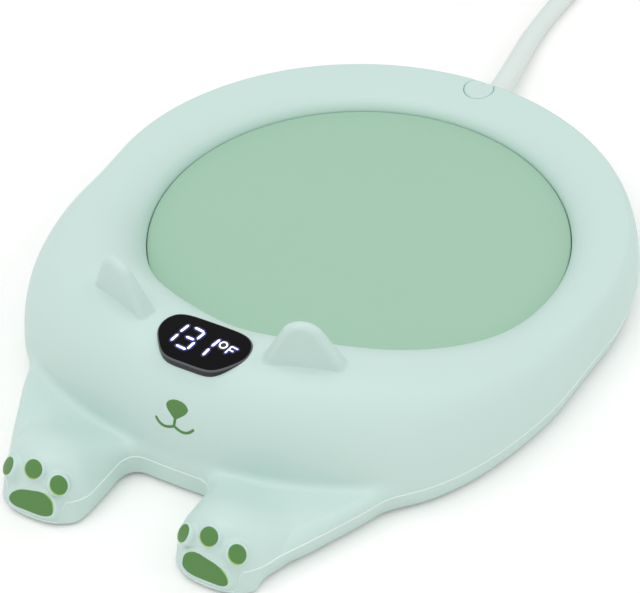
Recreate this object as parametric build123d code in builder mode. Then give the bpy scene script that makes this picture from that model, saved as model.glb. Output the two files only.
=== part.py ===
from build123d import *
from math import cos, pi, radians, sin, tan
import os

# Electric mug warmer in the shape of a bear that lies on its belly: a ring round a
# heating plate, with the head, ears and paws at the front. Millimetres, +Z up, paws
# towards -Y, cord towards +Y. The origin is on the table, in the middle of the body.
# Plan positions are given about the plate's axis: x to the right, and a reach ahead of
# the axis (towards the paws) or a distance behind it (towards the cord).

# ---- driving dimensions -----------------------------------------------------------

# heights, stacked up from the table
foot_proud = 0.8  # rubber feet below the base
floor_t = 2.0  # bottom cover's floor
band_h = 5.0  # side band of the bottom cover, up to the parting line
retainer_t = 0.8  # heater's retainer, level with the parting line
insulation_t = 1.2
heater_t = 0.6
flange_t = 1.0  # heating plate's flange
gasket_t = 0.4
lip_t = 1.6  # cover's lip over the flange

# plate and ring, radii about the plate's axis
plate_r = 46.6
plate_gap = 0.4  # dark gap round the plate
plate_edge = 0.4
bore_trim = 0.15  # the cover's shape starts this far inside its opening, which is cut true
flange_w = 2.8  # flange beyond the plate's edge
flange_gap = 0.4
gasket_margin = 0.1
skirt_t = 1.7  # cover's skirt round the flange
ring_w = 14.9  # opening to the ring's outside
wall = 2.0  # moulded walls
lip_over = 0.4  # top cover stands out over the band
band_draft = 0.9  # band's draw-in from parting line to base
band_wall = 1.6  # band's wall at the base

# crown of the ring and head above the plate, by angle from the front
crown_rear = 4.65
crown_swell = 1.45
head_rise = 11.6
head_flat_angle = 18.5
head_end_angle = 81.5
brow_dip = 0.9
brow_angle = 16.0
head_r = 79.0  # foot of the head
foot_flat_angle = 29.5
foot_end_angle = 81.0
crown_share_front = 0.50  # crown's place between opening and foot
crown_share_ring = 0.78
share_end_angle = 113.0
wall_flare = 0.10  # opening's wall leans out by this share of the crown's width
wall_rise = 0.33  # and holds its slope up to this share of the height
wall_rise_face = 0.195  # more of it at the face
top_arm_ring = 0.37  # crown's roundness towards the opening
top_arm_face = 0.105  # more of it at the face
room_shoulder = 0.12  # the room inside starts this share of the crown's height up

# arms and paws
arm_h = 2.5  # arm's top above the parting line
arm_round = 1.4
notch_reach = 78.9
notch_half = 10.4
notch_corner_r = 4.6
arm_turns = (0, 30, 60, 90)  # steps of the rounded upper edges, in degrees
paw_turns = (0, 30, 60, 85)
paw_x = 20.8
paw_tip = 101.65
paw_w = 17.8
paw_front_draw = 1.45  # pads stand this far ahead of the paw's foot
paw_length = 13.6
paw_corner_r = 6.4
paw_top = 3.2  # above the plate
paw_lean = 12.0  # degrees
paw_round = 3.0
paw_front_gap = 0.3  # paw's lower edge above the base
step_reach = 96.0  # where the parting line steps down round the paw
step_run = 3.2
step_gap = 0.15
step_wall = 2.5  # bottom cover's wall behind the step
toe_r = 2.0
toe_places = ((14.8, 98.6, -0.1), (20.6, 98.5, 1.6), (27.0, 98.5, -0.2))  # x, reach, above plate
toe_root = 3.0
pad_place = (20.5, 100.5, -5.6)
pad_w = 10.8
pad_h = 5.2
pad_proud = 0.5
pad_root = 1.5
pad_lean = 15.0
toe_splay = 8.0
toe_lift = 14.0
paw_room_size = (13.0, 9.0, 4.0, 5.6)  # width, length, corner, height

# ears
ear_x = 22.35
ear_reach = 63.35
ear_turn = 22.0  # each ear faces outward by this angle
ear_base = 18.9  # above the plate
ear_half = 8.4
ear_peak = 17.7  # the straight sides would meet this far above the base
ear_tip_r = 4.6
ear_lean = 8.5  # each ear leans ahead by this angle
ear_root_t = 5.0
ear_tip_t = 2.2
ear_sink = 4.0
ear_round = 0.8

# display
lens_reach = 65.75
lens_top = 18.6  # above the plate, at the lens's centre
lens_tilt = 8.7
lens_top_w = 25.2
lens_bottom_w = 12.6
lens_h = 12.3
lens_upper_r = 3.7
lens_lower_r = 4.1
lens_t = 2.9
lens_proud = 1.4
lens_gap = 0.1
lens_edge = 0.4
seat_margin = 1.6
seat_depth = 2.2  # cover's seat below the lens
window_inset = 1.2
module_size = (13.0, 7.0, 5.0)
module_shift = 0.8
display_board_size = (31.0, 10.0, 1.2)
display_post_x = 12.6
display_post_r = 1.9
display_post_top = 2.0  # below the lens's top face

# power button and its switch
button_y = 56.6  # behind the plate's axis
button_r = 3.4
button_gap = 0.15
button_travel = 0.4
button_z = 0.1  # flange's underside above the plate
button_flange_r = 4.2
button_flange_t = 0.7
button_flange_play = 0.1
button_rear = 58.8  # flange stops here, behind the axis
button_seat_r = 6.2
nub_r = 1.5
nub_h = 0.35
stem_r = 1.5
stem_gap = 0.05
stem_play = 0.05
stem_h = 1.9
stem_reveal = 0.5  # switch's top below the button's lowest place
switch_size = (6.0, 6.0, 2.2)
switch_board_size = (19.0, 5.8, 1.0)
switch_board_y = 55.6
switch_post_x = 7.4
switch_post_r = 1.8

# heater stack
heater_r = 40.0
insulation_r = 41.0
retainer_r = 44.0
retainer_ear_reach = 56.0
retainer_ear_w = 7.0
retainer_angles = (60, 125, -125, -60)
retainer_post_reach = 53.4
retainer_post_r = 2.2
sensor_r = 1.8
sensor_place = (7.0, 9.0)
fuse_size = (11.0, 3.6)
fuse_place = (-9.0, -8.0)
pocket_gap = 0.3

# main board in the head
board_size = (48.0, 16.0, 1.6)
board_reach = 63.0
board_post_h = 3.2
board_post_x = 20.5
board_post_dy = 4.6
board_post_r = 2.2
storage_cap = (4.0, 9.0)  # radius, height
storage_cap_place = (-12.5, 2.5)  # x, and ahead of the board's middle
film_cap = (13.0, 6.0, 9.0)
film_cap_place = (10.5, 4.0)
fuse_tube = (2.4, 9.0)
fuse_tube_place = (11.0, -3.8)
triac = (8.0, 4.0, 9.0)
triac_place = (-1.5, 5.0)
chip = (7.0, 5.0, 1.6)
chip_place = (-3.0, -2.5)

# screws and feet
case_screw = (2.4, 1.4, 1.25, 5.6)  # head radius, head height, shank radius, shank length
case_counterbore = 1.8
case_boss_r = 2.7
case_post_r = 3.4
case_boss_reach = 55.8
case_boss_angles = (95, 148, -148, -95)
paw_screw_reach = 90.5
small_screw = (2.0, 1.0, 1.0, 4.0)
screw_gap = 0.15
foot_r = 4.5
foot_recess = 1.2
foot_edge = 0.4
foot_places = ((24.0, 78.5), (35.5, -40.5))  # x either side, reach

# cord, strain relief, coil and plug
cord_d = 4.5
table_gap = 0.05
exit_z = 4.9
neck_r = 2.3
neck_gap = 0.1
collar = (8.4, 2.0, 3.4)
collar_y = 57.8
collar_z = 4.6
relief_route = ((0.0, 62.0, exit_z), (-1.3, 74.0, 4.4), (-3.3, 86.0, 3.45), (-5.2, 97.0, 2.6))
relief_radii = (2.75, 2.6, 2.45, 2.3)
cord_route = (
    relief_route[-1],
    (-5.95, 107.0, 2.3),
    (-5.9, 117.5, 2.3),
    (-5.5, 128.0, 2.3),
    (-5.25, 136.5, 2.3),
)
run_share = 0.45  # each arc of the cord takes this share of its shorter run
coil_centre = (-37.0, 147.0)
coil_inner_r = 16.0
coil_outer_r = 34.0
coil_h = 9.0
coil_round = 2.0
tie_w = 7.0
tie_t = 0.6
tail_y = 176.5
tail_z = 6.8
tail_ends = (-54.0, -68.0)
plug_size = (30.0, 25.0, 15.0)
plug_round = 2.5
blade_size = (16.0, 1.5, 6.3)
blade_pitch = 12.7
blade_edge = 0.4
lead_r = 0.8
lead_z = 3.85
lead_bend = 1.1
lead_turn = 5.0
lead_pitch = 2.2
heater_lead_reach = 18.0
board_lead_inset = 3.0  # wires meet the board this far in from its rear edge
board_lead_x = 12.5
board_lead_run = 8.0
lead_way = ((35.0, 12.0), (35.0, -34.0))  # round the heater, x and behind the plate's axis
mains_start = ((0.6, 56.8), (0.6, 45.0))
switch_start = ((1.6, 54.0), (1.6, 45.0))

# ---- sizes that follow ------------------------------------------------------------

base_z = foot_proud
floor_z = base_z + floor_t
parting_z = base_z + band_h
retainer_z = parting_z - retainer_t
insulation_z = parting_z
heater_z = insulation_z + insulation_t
flange_z = heater_z + heater_t
gasket_z = flange_z + flange_t
lip_z = gasket_z + gasket_t
plate_z = lip_z + lip_t

opening_r = plate_r + plate_gap
flange_r = plate_r + flange_w
skirt_in_r = flange_r + flange_gap
skirt_out_r = skirt_in_r + skirt_t
ring_r = opening_r + ring_w
plate_y = (paw_tip - ring_r) / 2  # centres the body on the origin
paw_reach = paw_tip - paw_front_draw - paw_length / 2
pan_inset = lip_over + band_draft + band_wall
pan_reach = step_reach - step_wall
kappa = 0.5523  # control arm of a quarter ellipse
shoulder = 0.61  # fuller control arm of the face

board_z = floor_z + board_post_h
board_top = board_z + board_size[2]
board_lead_reach = board_reach - board_size[1] / 2 + board_lead_inset
board_run = lead_way + (
    (board_lead_x, board_lead_run - board_lead_reach),
    (board_lead_x, -board_lead_reach),
)
flange_button_z = plate_z + button_z
stem_z = flange_button_z - nub_h - stem_play - stem_h
switch_top = flange_button_z - button_travel - stem_reveal
switch_z = switch_top - switch_size[2]
switch_board_z = switch_z - switch_board_size[2]
button_seat_z = flange_button_z + button_flange_t + button_flange_play
button_hole_z = flange_button_z - button_travel - button_flange_play
button_place = [(0, plate_y + button_y)]
well = 60.0  # cutters are this tall

os.makedirs("parts", exist_ok=True)


def ahead(x, reach):
    """Plan point x off the middle and reach ahead of the plate's axis."""
    return (x, plate_y - reach)


def polar(reach, angle):
    """Plan point at a reach from the plate's axis, angle in degrees from the front."""
    return (reach * sin(radians(angle)), plate_y - reach * cos(radians(angle)))


def level(z):
    return Plane.XY.offset(z)


def ease(u):
    u = min(max(u, 0.0), 1.0)
    return u * u * (3 - 2 * u)


def save(part, label):
    part.label = label
    export_step(part, f"parts/{label}.step")


def disc(radius, z, height, places=((0, plate_y),), mode=Mode.ADD):
    """Upright cylinders of one radius at plan places, from z up."""
    with BuildSketch(level(z)) as rounds:
        with Locations(*places):
            Circle(radius)
    extrude(rounds.sketch, amount=height, mode=mode)


def slab(size, z, height, places, mode=Mode.ADD):
    """Upright blocks of one plan size at plan places, from z up."""
    with BuildSketch(level(z)) as blocks:
        with Locations(*places):
            Rectangle(size[0], size[1])
    extrude(blocks.sketch, amount=height, mode=mode)


def both_sides(places):
    return [(side * x, y) for x, y in places for side in (1, -1)]


# ---- shape of ring and head -------------------------------------------------------


def crown_height(angle):
    ring = crown_rear + crown_swell * (1 + cos(radians(angle)))
    head = head_rise * ease((head_end_angle - angle) / (head_end_angle - head_flat_angle))
    dip = brow_dip * ease((brow_angle - angle) / brow_angle)
    return ring + head - dip


def foot_radius(angle):
    blend = ease((foot_end_angle - angle) / (foot_end_angle - foot_flat_angle))
    return ring_r + (head_r - ring_r) * blend


def arch_section(angle, inner_r, inner_z, core_r, inset):
    """Face in the plane at an angle from the front: an arch from the inner radius over
    the crown to the outside, closed below. inset draws it in by a wall."""
    face_share = ease((share_end_angle - angle) / share_end_angle)
    share = crown_share_ring + (crown_share_front - crown_share_ring) * face_share
    crown_r = opening_r + share * (foot_radius(angle) - opening_r)
    crown_z = plate_z + crown_height(angle) - inset
    outer_r = foot_radius(angle) - inset
    rise = crown_z - inner_z
    width = crown_r - inner_r
    flare_r = wall_flare * (1 - face_share) * width
    flare_z = (wall_rise + wall_rise_face * face_share) * rise
    top_arm = (top_arm_ring + top_arm_face * face_share) * width
    out_arm = kappa + (shoulder - kappa) * face_share
    low_z = parting_z - wall
    radial = Vector(sin(radians(angle)), -cos(radians(angle)), 0)
    plane = Plane(origin=(0, plate_y, 0), x_dir=radial, z_dir=radial.cross(Vector(0, 0, 1)))
    with BuildSketch(plane) as section:
        with BuildLine():
            Line((core_r, low_z), (core_r, inner_z))
            if inner_r > core_r:
                Line((core_r, inner_z), (inner_r, inner_z))
            Bezier(
                (inner_r, inner_z),
                (inner_r + flare_r, inner_z + flare_z),
                (crown_r - top_arm, crown_z),
                (crown_r, crown_z),
            )
            Bezier(
                (crown_r, crown_z),
                (crown_r + out_arm * (outer_r - crown_r), crown_z),
                (outer_r, parting_z + out_arm * (crown_z - parting_z)),
                (outer_r, parting_z),
            )
            Line((outer_r, parting_z), (outer_r, low_z))
            Line((outer_r, low_z), (core_r, low_z))
        make_face()
    return section.sketch


def outer_section(angle):
    return arch_section(angle, opening_r - bore_trim, plate_z, opening_r - wall, 0)


def room_section(angle):
    shoulder_z = plate_z + room_shoulder * crown_height(angle)
    return arch_section(angle, skirt_out_r, shoulder_z, skirt_out_r, wall)


section_angles = (0, 12, 24, 36, 48, 60, 72, 84, 96, 110, 130, 155, 180)

with BuildPart() as arch:
    loft([outer_section(a) for a in section_angles])
    mirror(about=Plane.YZ)

with BuildPart() as arch_room:
    loft([room_section(a) for a in section_angles])
    mirror(about=Plane.YZ)


# ---- outline at the parting line --------------------------------------------------

arm_direction = (-0.42, -0.91)  # outline's run at the paw's outer side
arm_root = ((0.0, 52.0), (38.0, 52.0), (44.3, 63.5))  # arm's start, under the head
arm_root_direction = (-0.5, -0.86)
arm_points = ((41.9, 69.9), (38.4, 78.0), (35.0, 85.9))
flank_angle = 84.0  # the round rear ends here, in degrees from the front
flank_points = ((61.2, 23.2), (58.3, 38.8), (52.3, 54.7), (44.9, 65.2))
rim_start = (31.9, 92.9)
rim_points = ((28.6, 97.9), (paw_x, 100.1), (13.2, 97.9))
rim_end = (notch_half, 92.5)
side_way = (0.9, 0.4)  # outward direction of the side points, as x and reach
corner_way = (0.75, 0.65)
inner_way = (-0.7, 0.7)


def moved(point, way, grow):
    return ahead(point[0] + way[0] * grow, point[1] + way[1] * grow)


def grown(point, grow):
    """Side point of the outline moved outward."""
    return moved(point, side_way, grow)


def paw_rim(grow):
    corner, tip, inner = rim_points
    Spline(
        grown(rim_start, grow),
        moved(corner, corner_way, grow),
        ahead(tip[0], tip[1] + grow),
        moved(inner, inner_way, grow),
        ahead(rim_end[0] - grow, rim_end[1]),
        tangents=[arm_direction, (0, 1)],
    )


def notch(grow):
    """Outline from the paw's inner side to the middle, between the paws."""
    half = notch_half - grow
    reach = notch_reach + grow
    Line(ahead(half, rim_end[1]), ahead(half, reach + notch_corner_r))
    CenterArc(ahead(half - notch_corner_r, reach + notch_corner_r), notch_corner_r, 0, 90)
    Line(ahead(half - notch_corner_r, reach), ahead(0, reach))


def half_outline(grow):
    """Right half of the body's outline, closed down the middle."""
    radius = ring_r + grow
    past = 90 - flank_angle
    CenterArc((0, plate_y), radius, -past, 90 + past)
    Spline(
        polar(radius, flank_angle),
        *[grown(point, grow) for point in flank_points + arm_points + (rim_start,)],
        tangents=[(-sin(radians(past)), -cos(radians(past))), arm_direction],
    )
    paw_rim(grow)
    notch(grow)
    Line(ahead(0, notch_reach + grow), (0, plate_y + radius))


def outline_face(z, grow):
    with BuildSketch(level(z)) as half:
        with BuildLine():
            half_outline(grow)
        make_face()
    return half.sketch


def half_prism(levels):
    """Right half of the body's outline lofted through pairs of height and growth."""
    loft([outline_face(z, grow) for z, grow in levels])


def ahead_of_step(shift, z_top, mode):
    """Everything in front of the sloping step round the paws, up to a height."""
    slope = step_run / band_h
    edge_y = plate_y - step_reach - shift
    low_z = base_z - wall
    far_y = -well - paw_tip
    with BuildSketch(Plane.YZ.offset(-well)) as side:
        with BuildLine():
            Polyline(
                (edge_y + slope * (z_top - parting_z), z_top),
                (edge_y + slope * (low_z - parting_z), low_z),
                (far_y, low_z),
                (far_y, z_top),
                close=True,
            )
        make_face()
    extrude(side.sketch, amount=2 * well, mode=mode)


# ---- top cover --------------------------------------------------------------------

lens_plane = Plane(
    origin=(0, plate_y - lens_reach, plate_z + lens_top),
    x_dir=(1, 0, 0),
    z_dir=(0, -sin(radians(lens_tilt)), cos(radians(lens_tilt))),
)


def lens_outline(plane, grow):
    """The display's rounded outline, wider at the rear, moved outward by grow."""
    with BuildSketch(plane) as outline:
        with BuildLine():
            Polyline(
                (lens_bottom_w / 2, -lens_h / 2),
                (lens_top_w / 2, lens_h / 2),
                (-lens_top_w / 2, lens_h / 2),
                (-lens_bottom_w / 2, -lens_h / 2),
                close=True,
            )
        make_face()
        fillet(outline.vertices().group_by(Axis.Y)[-1], radius=lens_upper_r)
        fillet(outline.vertices().group_by(Axis.Y)[0], radius=lens_lower_r)
        if grow:
            offset(amount=grow, mode=Mode.REPLACE)
    return outline.sketch


def lens_prism(top, thickness, grow, mode):
    """Prism of the lens's outline, from a depth below its top face downward."""
    face = lens_outline(lens_plane.offset(-top - thickness), grow)
    extrude(face, amount=thickness, mode=mode)


def arm_face(z, grow):
    """Right arm and paw in plan, running in under the head."""
    with BuildSketch(level(z)) as face:
        with BuildLine():
            Polyline(*[ahead(*point) for point in arm_root])
            Spline(
                ahead(*arm_root[-1]),
                *[grown(point, grow) for point in arm_points + (rim_start,)],
                tangents=[arm_root_direction, arm_direction],
            )
            paw_rim(grow)
            notch(grow)
            Line(ahead(0, notch_reach + grow), ahead(*arm_root[0]))
        make_face()
    return face.sketch


with BuildPart() as arms:
    arm_faces = [arm_face(parting_z, 0)]
    for turn in arm_turns:
        drop = arm_round * (1 - sin(radians(turn)))
        arm_faces.append(arm_face(parting_z + arm_h - drop, -arm_round * (1 - cos(radians(turn)))))
    loft(arm_faces, ruled=True)
    mirror(about=Plane.YZ)

with BuildPart() as ears:
    for side in (1, -1):
        along = Vector(cos(radians(ear_turn)), side * sin(radians(ear_turn)), 0)
        facing = Vector(side * sin(radians(ear_turn)), -cos(radians(ear_turn)), 0)
        ear_plane = Plane(
            origin=(side * ear_x, plate_y - ear_reach, plate_z + ear_base),
            x_dir=along,
            z_dir=facing - Vector(0, 0, tan(radians(ear_lean))),
        )
        with BuildSketch(ear_plane) as ear_face:
            with BuildLine():
                Polyline(
                    (-ear_half, -ear_sink),
                    (-ear_half, 0),
                    (0, ear_peak),
                    (ear_half, 0),
                    (ear_half, -ear_sink),
                    close=True,
                )
            make_face()
            fillet(ear_face.vertices().sort_by(Axis.Y)[-1], radius=ear_tip_r)
        extrude(amount=-ear_root_t)
        slope_plane = Plane(origin=ear_plane.origin, x_dir=-ear_plane.z_dir, z_dir=-along * side)
        with BuildSketch(slope_plane) as back:
            with BuildLine():
                back_rise = side * ear_peak
                Polyline(
                    (ear_root_t, 0),
                    (ear_tip_t, back_rise),
                    (2 * ear_root_t, back_rise),
                    (2 * ear_root_t, 0),
                    close=True,
                )
            make_face()
        extrude(amount=2 * ear_half, both=True, mode=Mode.SUBTRACT)
    rim_edges = ears.edges().filter_by(lambda e: e.center().Z > plate_z + ear_base + ear_round)
    fillet(rim_edges, radius=ear_round)


def paw_face(z, inset):
    """Right paw's level outline, leaning in with height and drawn in by inset."""
    lean = (z - parting_z) * tan(radians(paw_lean)) + inset
    with BuildSketch(level(z)) as face:
        with Locations(ahead(paw_x, paw_reach)):
            RectangleRounded(paw_w - 2 * lean, paw_length - 2 * lean, paw_corner_r - lean)
    return face.sketch


with BuildPart() as paws:
    paw_faces = [paw_face(parting_z, 0)]
    for turn in paw_turns:
        drop = paw_round * (1 - sin(radians(turn)))
        paw_faces.append(paw_face(plate_z + paw_top - drop, paw_round * (1 - cos(radians(turn)))))
    loft(paw_faces, ruled=True)
    mirror(about=Plane.YZ)

with BuildPart() as noses:
    loft([outline_face(parting_z, 0), outline_face(base_z + paw_front_gap, -band_draft / 2)])
    mirror(about=Plane.YZ)
    with BuildPart(mode=Mode.PRIVATE) as ahead_room:
        ahead_of_step(0, parting_z, Mode.ADD)
    add(ahead_room.part, mode=Mode.INTERSECT)

# the pads that stand out of each paw, and the room in it
with BuildPart() as pads:
    for side in (1, -1):
        x, reach, height = pad_place
        facing = Vector(0, -cos(radians(pad_lean)), sin(radians(pad_lean)))
        centre = Vector(side * x, plate_y - reach, plate_z + height)
        with BuildSketch(Plane(origin=centre - facing * pad_root, x_dir=(1, 0, 0), z_dir=facing)):
            Ellipse(pad_w / 2, pad_h / 2)
        extrude(amount=pad_root + pad_proud)
        for x, reach, height in toe_places:
            splay = radians(toe_splay) * (x - paw_x) / toe_r
            facing = Vector(side * sin(splay), -cos(splay), sin(radians(toe_lift)))
            centre = Vector(side * x, plate_y - reach, plate_z + height)
            with BuildSketch(Plane(origin=centre - facing * toe_root, z_dir=facing)):
                Circle(toe_r)
            extrude(amount=toe_root)

with BuildPart() as paw_room:
    with BuildSketch(level(parting_z)):
        with Locations(*both_sides([ahead(paw_x, paw_reach)])):
            RectangleRounded(paw_room_size[0], paw_room_size[1], paw_room_size[2])
    extrude(amount=paw_room_size[3])

# screw and board posts under the cover, as plan places and undersides
case_posts = [polar(case_boss_reach, angle) for angle in case_boss_angles]
paw_posts = both_sides([ahead(paw_x, paw_screw_reach)])
retainer_posts = [polar(retainer_post_reach, angle) for angle in retainer_angles]
switch_posts = both_sides([(switch_post_x, plate_y + switch_board_y)])


def display_pins(radius, top, bottom, mode):
    """Rounds on the display's two post lines, between two depths below the lens."""
    with BuildSketch(lens_plane.offset(-bottom)) as rounds:
        with Locations((display_post_x, module_shift), (-display_post_x, module_shift)):
            Circle(radius)
    extrude(rounds.sketch, amount=bottom - top, mode=mode)


module_depth = lens_t + module_size[2]
display_board_depth = module_depth + display_board_size[2]

with BuildPart() as cover_room:
    add(arch_room.part)
    disc(case_boss_r, parting_z, well, case_posts, Mode.SUBTRACT)
    disc(retainer_post_r, parting_z, well, retainer_posts, Mode.SUBTRACT)
    disc(switch_post_r, switch_board_z + switch_board_size[2], well, switch_posts, Mode.SUBTRACT)
    disc(button_seat_r, button_seat_z, well, button_place, Mode.SUBTRACT)
    lens_prism(0, lens_t + seat_depth, seat_margin, Mode.SUBTRACT)
    display_pins(display_post_r, 0, module_depth, Mode.SUBTRACT)
    add(paw_room.part)
    disc(case_boss_r, parting_z, well, paw_posts, Mode.SUBTRACT)


def neck_hole(mode):
    """Round hole through the rear wall for the strain relief's neck."""
    with BuildSketch(Plane.XZ.offset(-(plate_y + collar_y))) as hole:
        with Locations((0, exit_z)):
            Circle(neck_r + neck_gap)
    extrude(hole.sketch, amount=-3 * wall, mode=mode)


with BuildPart() as top_cover:
    add(arch.part)
    add(arms.part)
    add(paws.part)
    add(ears.part)
    lens_prism(lens_proud, lens_t - lens_proud + seat_depth, seat_margin, Mode.ADD)
    slab((4 * well, 4 * well), parting_z - well, well, [(0, 0)], Mode.SUBTRACT)
    add(noses.part)
    add(pads.part)
    add(cover_room.part, mode=Mode.SUBTRACT)
    disc(opening_r, 0, well, mode=Mode.SUBTRACT)
    disc(skirt_in_r, 0, lip_z, mode=Mode.SUBTRACT)
    lens_prism(0, lens_t, lens_gap, Mode.SUBTRACT)
    lens_prism(0, module_depth, -window_inset, Mode.SUBTRACT)
    disc(button_r + button_gap, button_hole_z, well, button_place, Mode.SUBTRACT)
    disc(case_screw[2], base_z + case_counterbore, case_screw[3], case_posts + paw_posts, Mode.SUBTRACT)
    disc(small_screw[2], retainer_z, small_screw[3], retainer_posts, Mode.SUBTRACT)
    disc(small_screw[2], switch_board_z, small_screw[3], switch_posts, Mode.SUBTRACT)
    display_pins(small_screw[2], display_board_depth - small_screw[3], display_board_depth, Mode.SUBTRACT)
    neck_hole(Mode.SUBTRACT)
save(top_cover.part, "top_cover")

# ---- bottom cover -----------------------------------------------------------------

board_posts = both_sides([ahead(board_post_x, board_reach + dy) for dy in (-board_post_dy, board_post_dy)])
foot_spots = both_sides([ahead(x, reach) for x, reach in foot_places])

with BuildPart() as pan:
    loft([outline_face(floor_z, -pan_inset), outline_face(parting_z + wall, -pan_inset)])
    mirror(about=Plane.YZ)
    slab((2 * well, well), floor_z, well, [ahead(0, pan_reach + well / 2)], Mode.SUBTRACT)

with BuildPart() as bottom_cover:
    half_prism(((parting_z, -lip_over), (base_z, -lip_over - band_draft)))
    mirror(about=Plane.YZ)
    ahead_of_step(-step_gap, parting_z + wall, Mode.SUBTRACT)
    add(pan.part, mode=Mode.SUBTRACT)
    disc(case_post_r, floor_z, parting_z - floor_z, paw_posts)
    with BuildPart(mode=Mode.PRIVATE) as rear_posts:
        disc(case_post_r, floor_z, parting_z - floor_z, case_posts)
        disc(ring_r - pan_inset + band_wall / 2, floor_z, well, mode=Mode.INTERSECT)
    add(rear_posts.part)
    disc(board_post_r, floor_z, board_z - floor_z, board_posts)
    disc(case_screw[0] + screw_gap, 0, base_z + case_counterbore, case_posts + paw_posts, Mode.SUBTRACT)
    disc(case_screw[2] + screw_gap, 0, well, case_posts + paw_posts, Mode.SUBTRACT)
    disc(small_screw[2], board_top - small_screw[3], well, board_posts, Mode.SUBTRACT)
    disc(foot_r, 0, base_z + foot_recess, foot_spots, Mode.SUBTRACT)
    neck_hole(Mode.SUBTRACT)
save(bottom_cover.part, "bottom_cover")

with BuildPart() as rubber_feet:
    disc(foot_r, 0, base_z + foot_recess, foot_spots)
    chamfer(rubber_feet.edges().group_by(Axis.Z)[0], length=foot_edge)
save(rubber_feet.part, "rubber_feet")

# ---- heating plate and what lies under it -----------------------------------------

with BuildPart() as heating_plate:
    disc(flange_r, flange_z, flange_t)
    disc(plate_r, flange_z, plate_z - flange_z)
    chamfer(heating_plate.edges().group_by(Axis.Z)[-1], length=plate_edge)
save(heating_plate.part, "heating_plate")

with BuildPart() as plate_gasket:
    disc(flange_r - gasket_margin, gasket_z, gasket_t)
    disc(opening_r + gasket_margin, gasket_z, gasket_t, mode=Mode.SUBTRACT)
save(plate_gasket.part, "plate_gasket")

with BuildPart() as heater_element:
    disc(heater_r, heater_z, heater_t)
save(heater_element.part, "heater_element")

sensor_spot = [(sensor_place[0], plate_y + sensor_place[1])]
fuse_spot = [(fuse_place[0], plate_y + fuse_place[1])]
lead_slot_size = (2 * lead_pitch + 2 * lead_r, 4 * lead_r)
lead_slot = [ahead(0, heater_lead_reach)]

with BuildPart() as heater_insulation:
    disc(insulation_r, insulation_z, insulation_t)
    disc(sensor_r + pocket_gap, insulation_z, insulation_t, sensor_spot, Mode.SUBTRACT)
    fuse_room = (fuse_size[0] + 2 * pocket_gap, fuse_size[1] + 2 * pocket_gap)
    slab(fuse_room, insulation_z, insulation_t, fuse_spot, Mode.SUBTRACT)
    slab(lead_slot_size, insulation_z, insulation_t, lead_slot, Mode.SUBTRACT)
save(heater_insulation.part, "heater_insulation")

with BuildPart() as temperature_sensor:
    disc(sensor_r, insulation_z, insulation_t, sensor_spot)
save(temperature_sensor.part, "temperature_sensor")

with BuildPart() as thermal_fuse:
    slab(fuse_size, insulation_z, insulation_t, fuse_spot)
save(thermal_fuse.part, "thermal_fuse")

with BuildPart() as heater_retainer:
    with BuildSketch(level(retainer_z)):
        with Locations((0, plate_y)):
            Circle(retainer_r)
        for angle in retainer_angles:
            with Locations(Location((*polar(retainer_ear_reach / 2, angle), 0), (0, 0, 1), angle - 90)):
                SlotOverall(retainer_ear_reach, retainer_ear_w)
    extrude(amount=retainer_t)
    disc(small_screw[2] + screw_gap, retainer_z, retainer_t, retainer_posts, Mode.SUBTRACT)
    slab(lead_slot_size, retainer_z, retainer_t, lead_slot, Mode.SUBTRACT)
save(heater_retainer.part, "heater_retainer")


def small_screws(seat_z, places, turn):
    """Pan-head screws seated at a height, heads below (turn 1) or above (turn -1)."""
    head_r, head_h, shank_r, shank_l = small_screw
    disc(head_r, seat_z - (head_h if turn == 1 else 0), head_h, places)
    disc(shank_r, seat_z - (0 if turn == 1 else shank_l), shank_l, places)


with BuildPart() as retainer_screws:
    small_screws(retainer_z, retainer_posts, 1)
save(retainer_screws.part, "retainer_screws")

with BuildPart() as case_screws:
    head_r, head_h, shank_r, shank_l = case_screw
    seat_z = base_z + case_counterbore
    disc(head_r, seat_z - head_h, head_h, case_posts + paw_posts)
    disc(shank_r, seat_z, shank_l, case_posts + paw_posts)
save(case_screws.part, "case_screws")

# ---- main board -------------------------------------------------------------------


def on_board(place):
    """Plan point given from the board's middle."""
    return ahead(place[0], board_reach + place[1])


def block(size, place, z):
    slab(size[:2], z, size[2], [on_board(place)])


with BuildPart() as main_board:
    block(board_size, (0, 0), board_z)
    disc(small_screw[2] + screw_gap, board_z, board_size[2], board_posts, Mode.SUBTRACT)
save(main_board.part, "main_board")

with BuildPart() as board_screws:
    small_screws(board_top, board_posts, -1)
save(board_screws.part, "board_screws")

with BuildPart() as smoothing_capacitor:
    disc(storage_cap[0], board_top, storage_cap[1], [on_board(storage_cap_place)])
save(smoothing_capacitor.part, "smoothing_capacitor")

with BuildPart() as film_capacitor:
    block(film_cap, film_cap_place, board_top)
save(film_capacitor.part, "film_capacitor")

with BuildPart() as mains_fuse:
    fuse_x, fuse_y = on_board(fuse_tube_place)
    with BuildSketch(Plane.YZ.offset(fuse_x - fuse_tube[1] / 2)):
        with Locations((fuse_y, board_top + fuse_tube[0])):
            Circle(fuse_tube[0])
    extrude(amount=fuse_tube[1])
save(mains_fuse.part, "mains_fuse")

with BuildPart() as heater_triac:
    block(triac, triac_place, board_top)
save(heater_triac.part, "heater_triac")

with BuildPart() as control_chip:
    block(chip, chip_place, board_top)
save(control_chip.part, "control_chip")

# ---- display ----------------------------------------------------------------------

with BuildPart() as display_lens:
    lens_prism(0, lens_t, 0, Mode.ADD)
    chamfer(display_lens.faces().sort_by(Axis.Z)[-1].edges(), length=lens_edge)
save(display_lens.part, "display_lens")


def tilted_block(size, depth):
    """Block in the display's tilted frame, its upper face at a depth below the lens."""
    with BuildSketch(lens_plane.offset(-depth - size[2])) as base:
        with Locations((0, module_shift)):
            Rectangle(size[0], size[1])
    extrude(base.sketch, amount=size[2])


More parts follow.
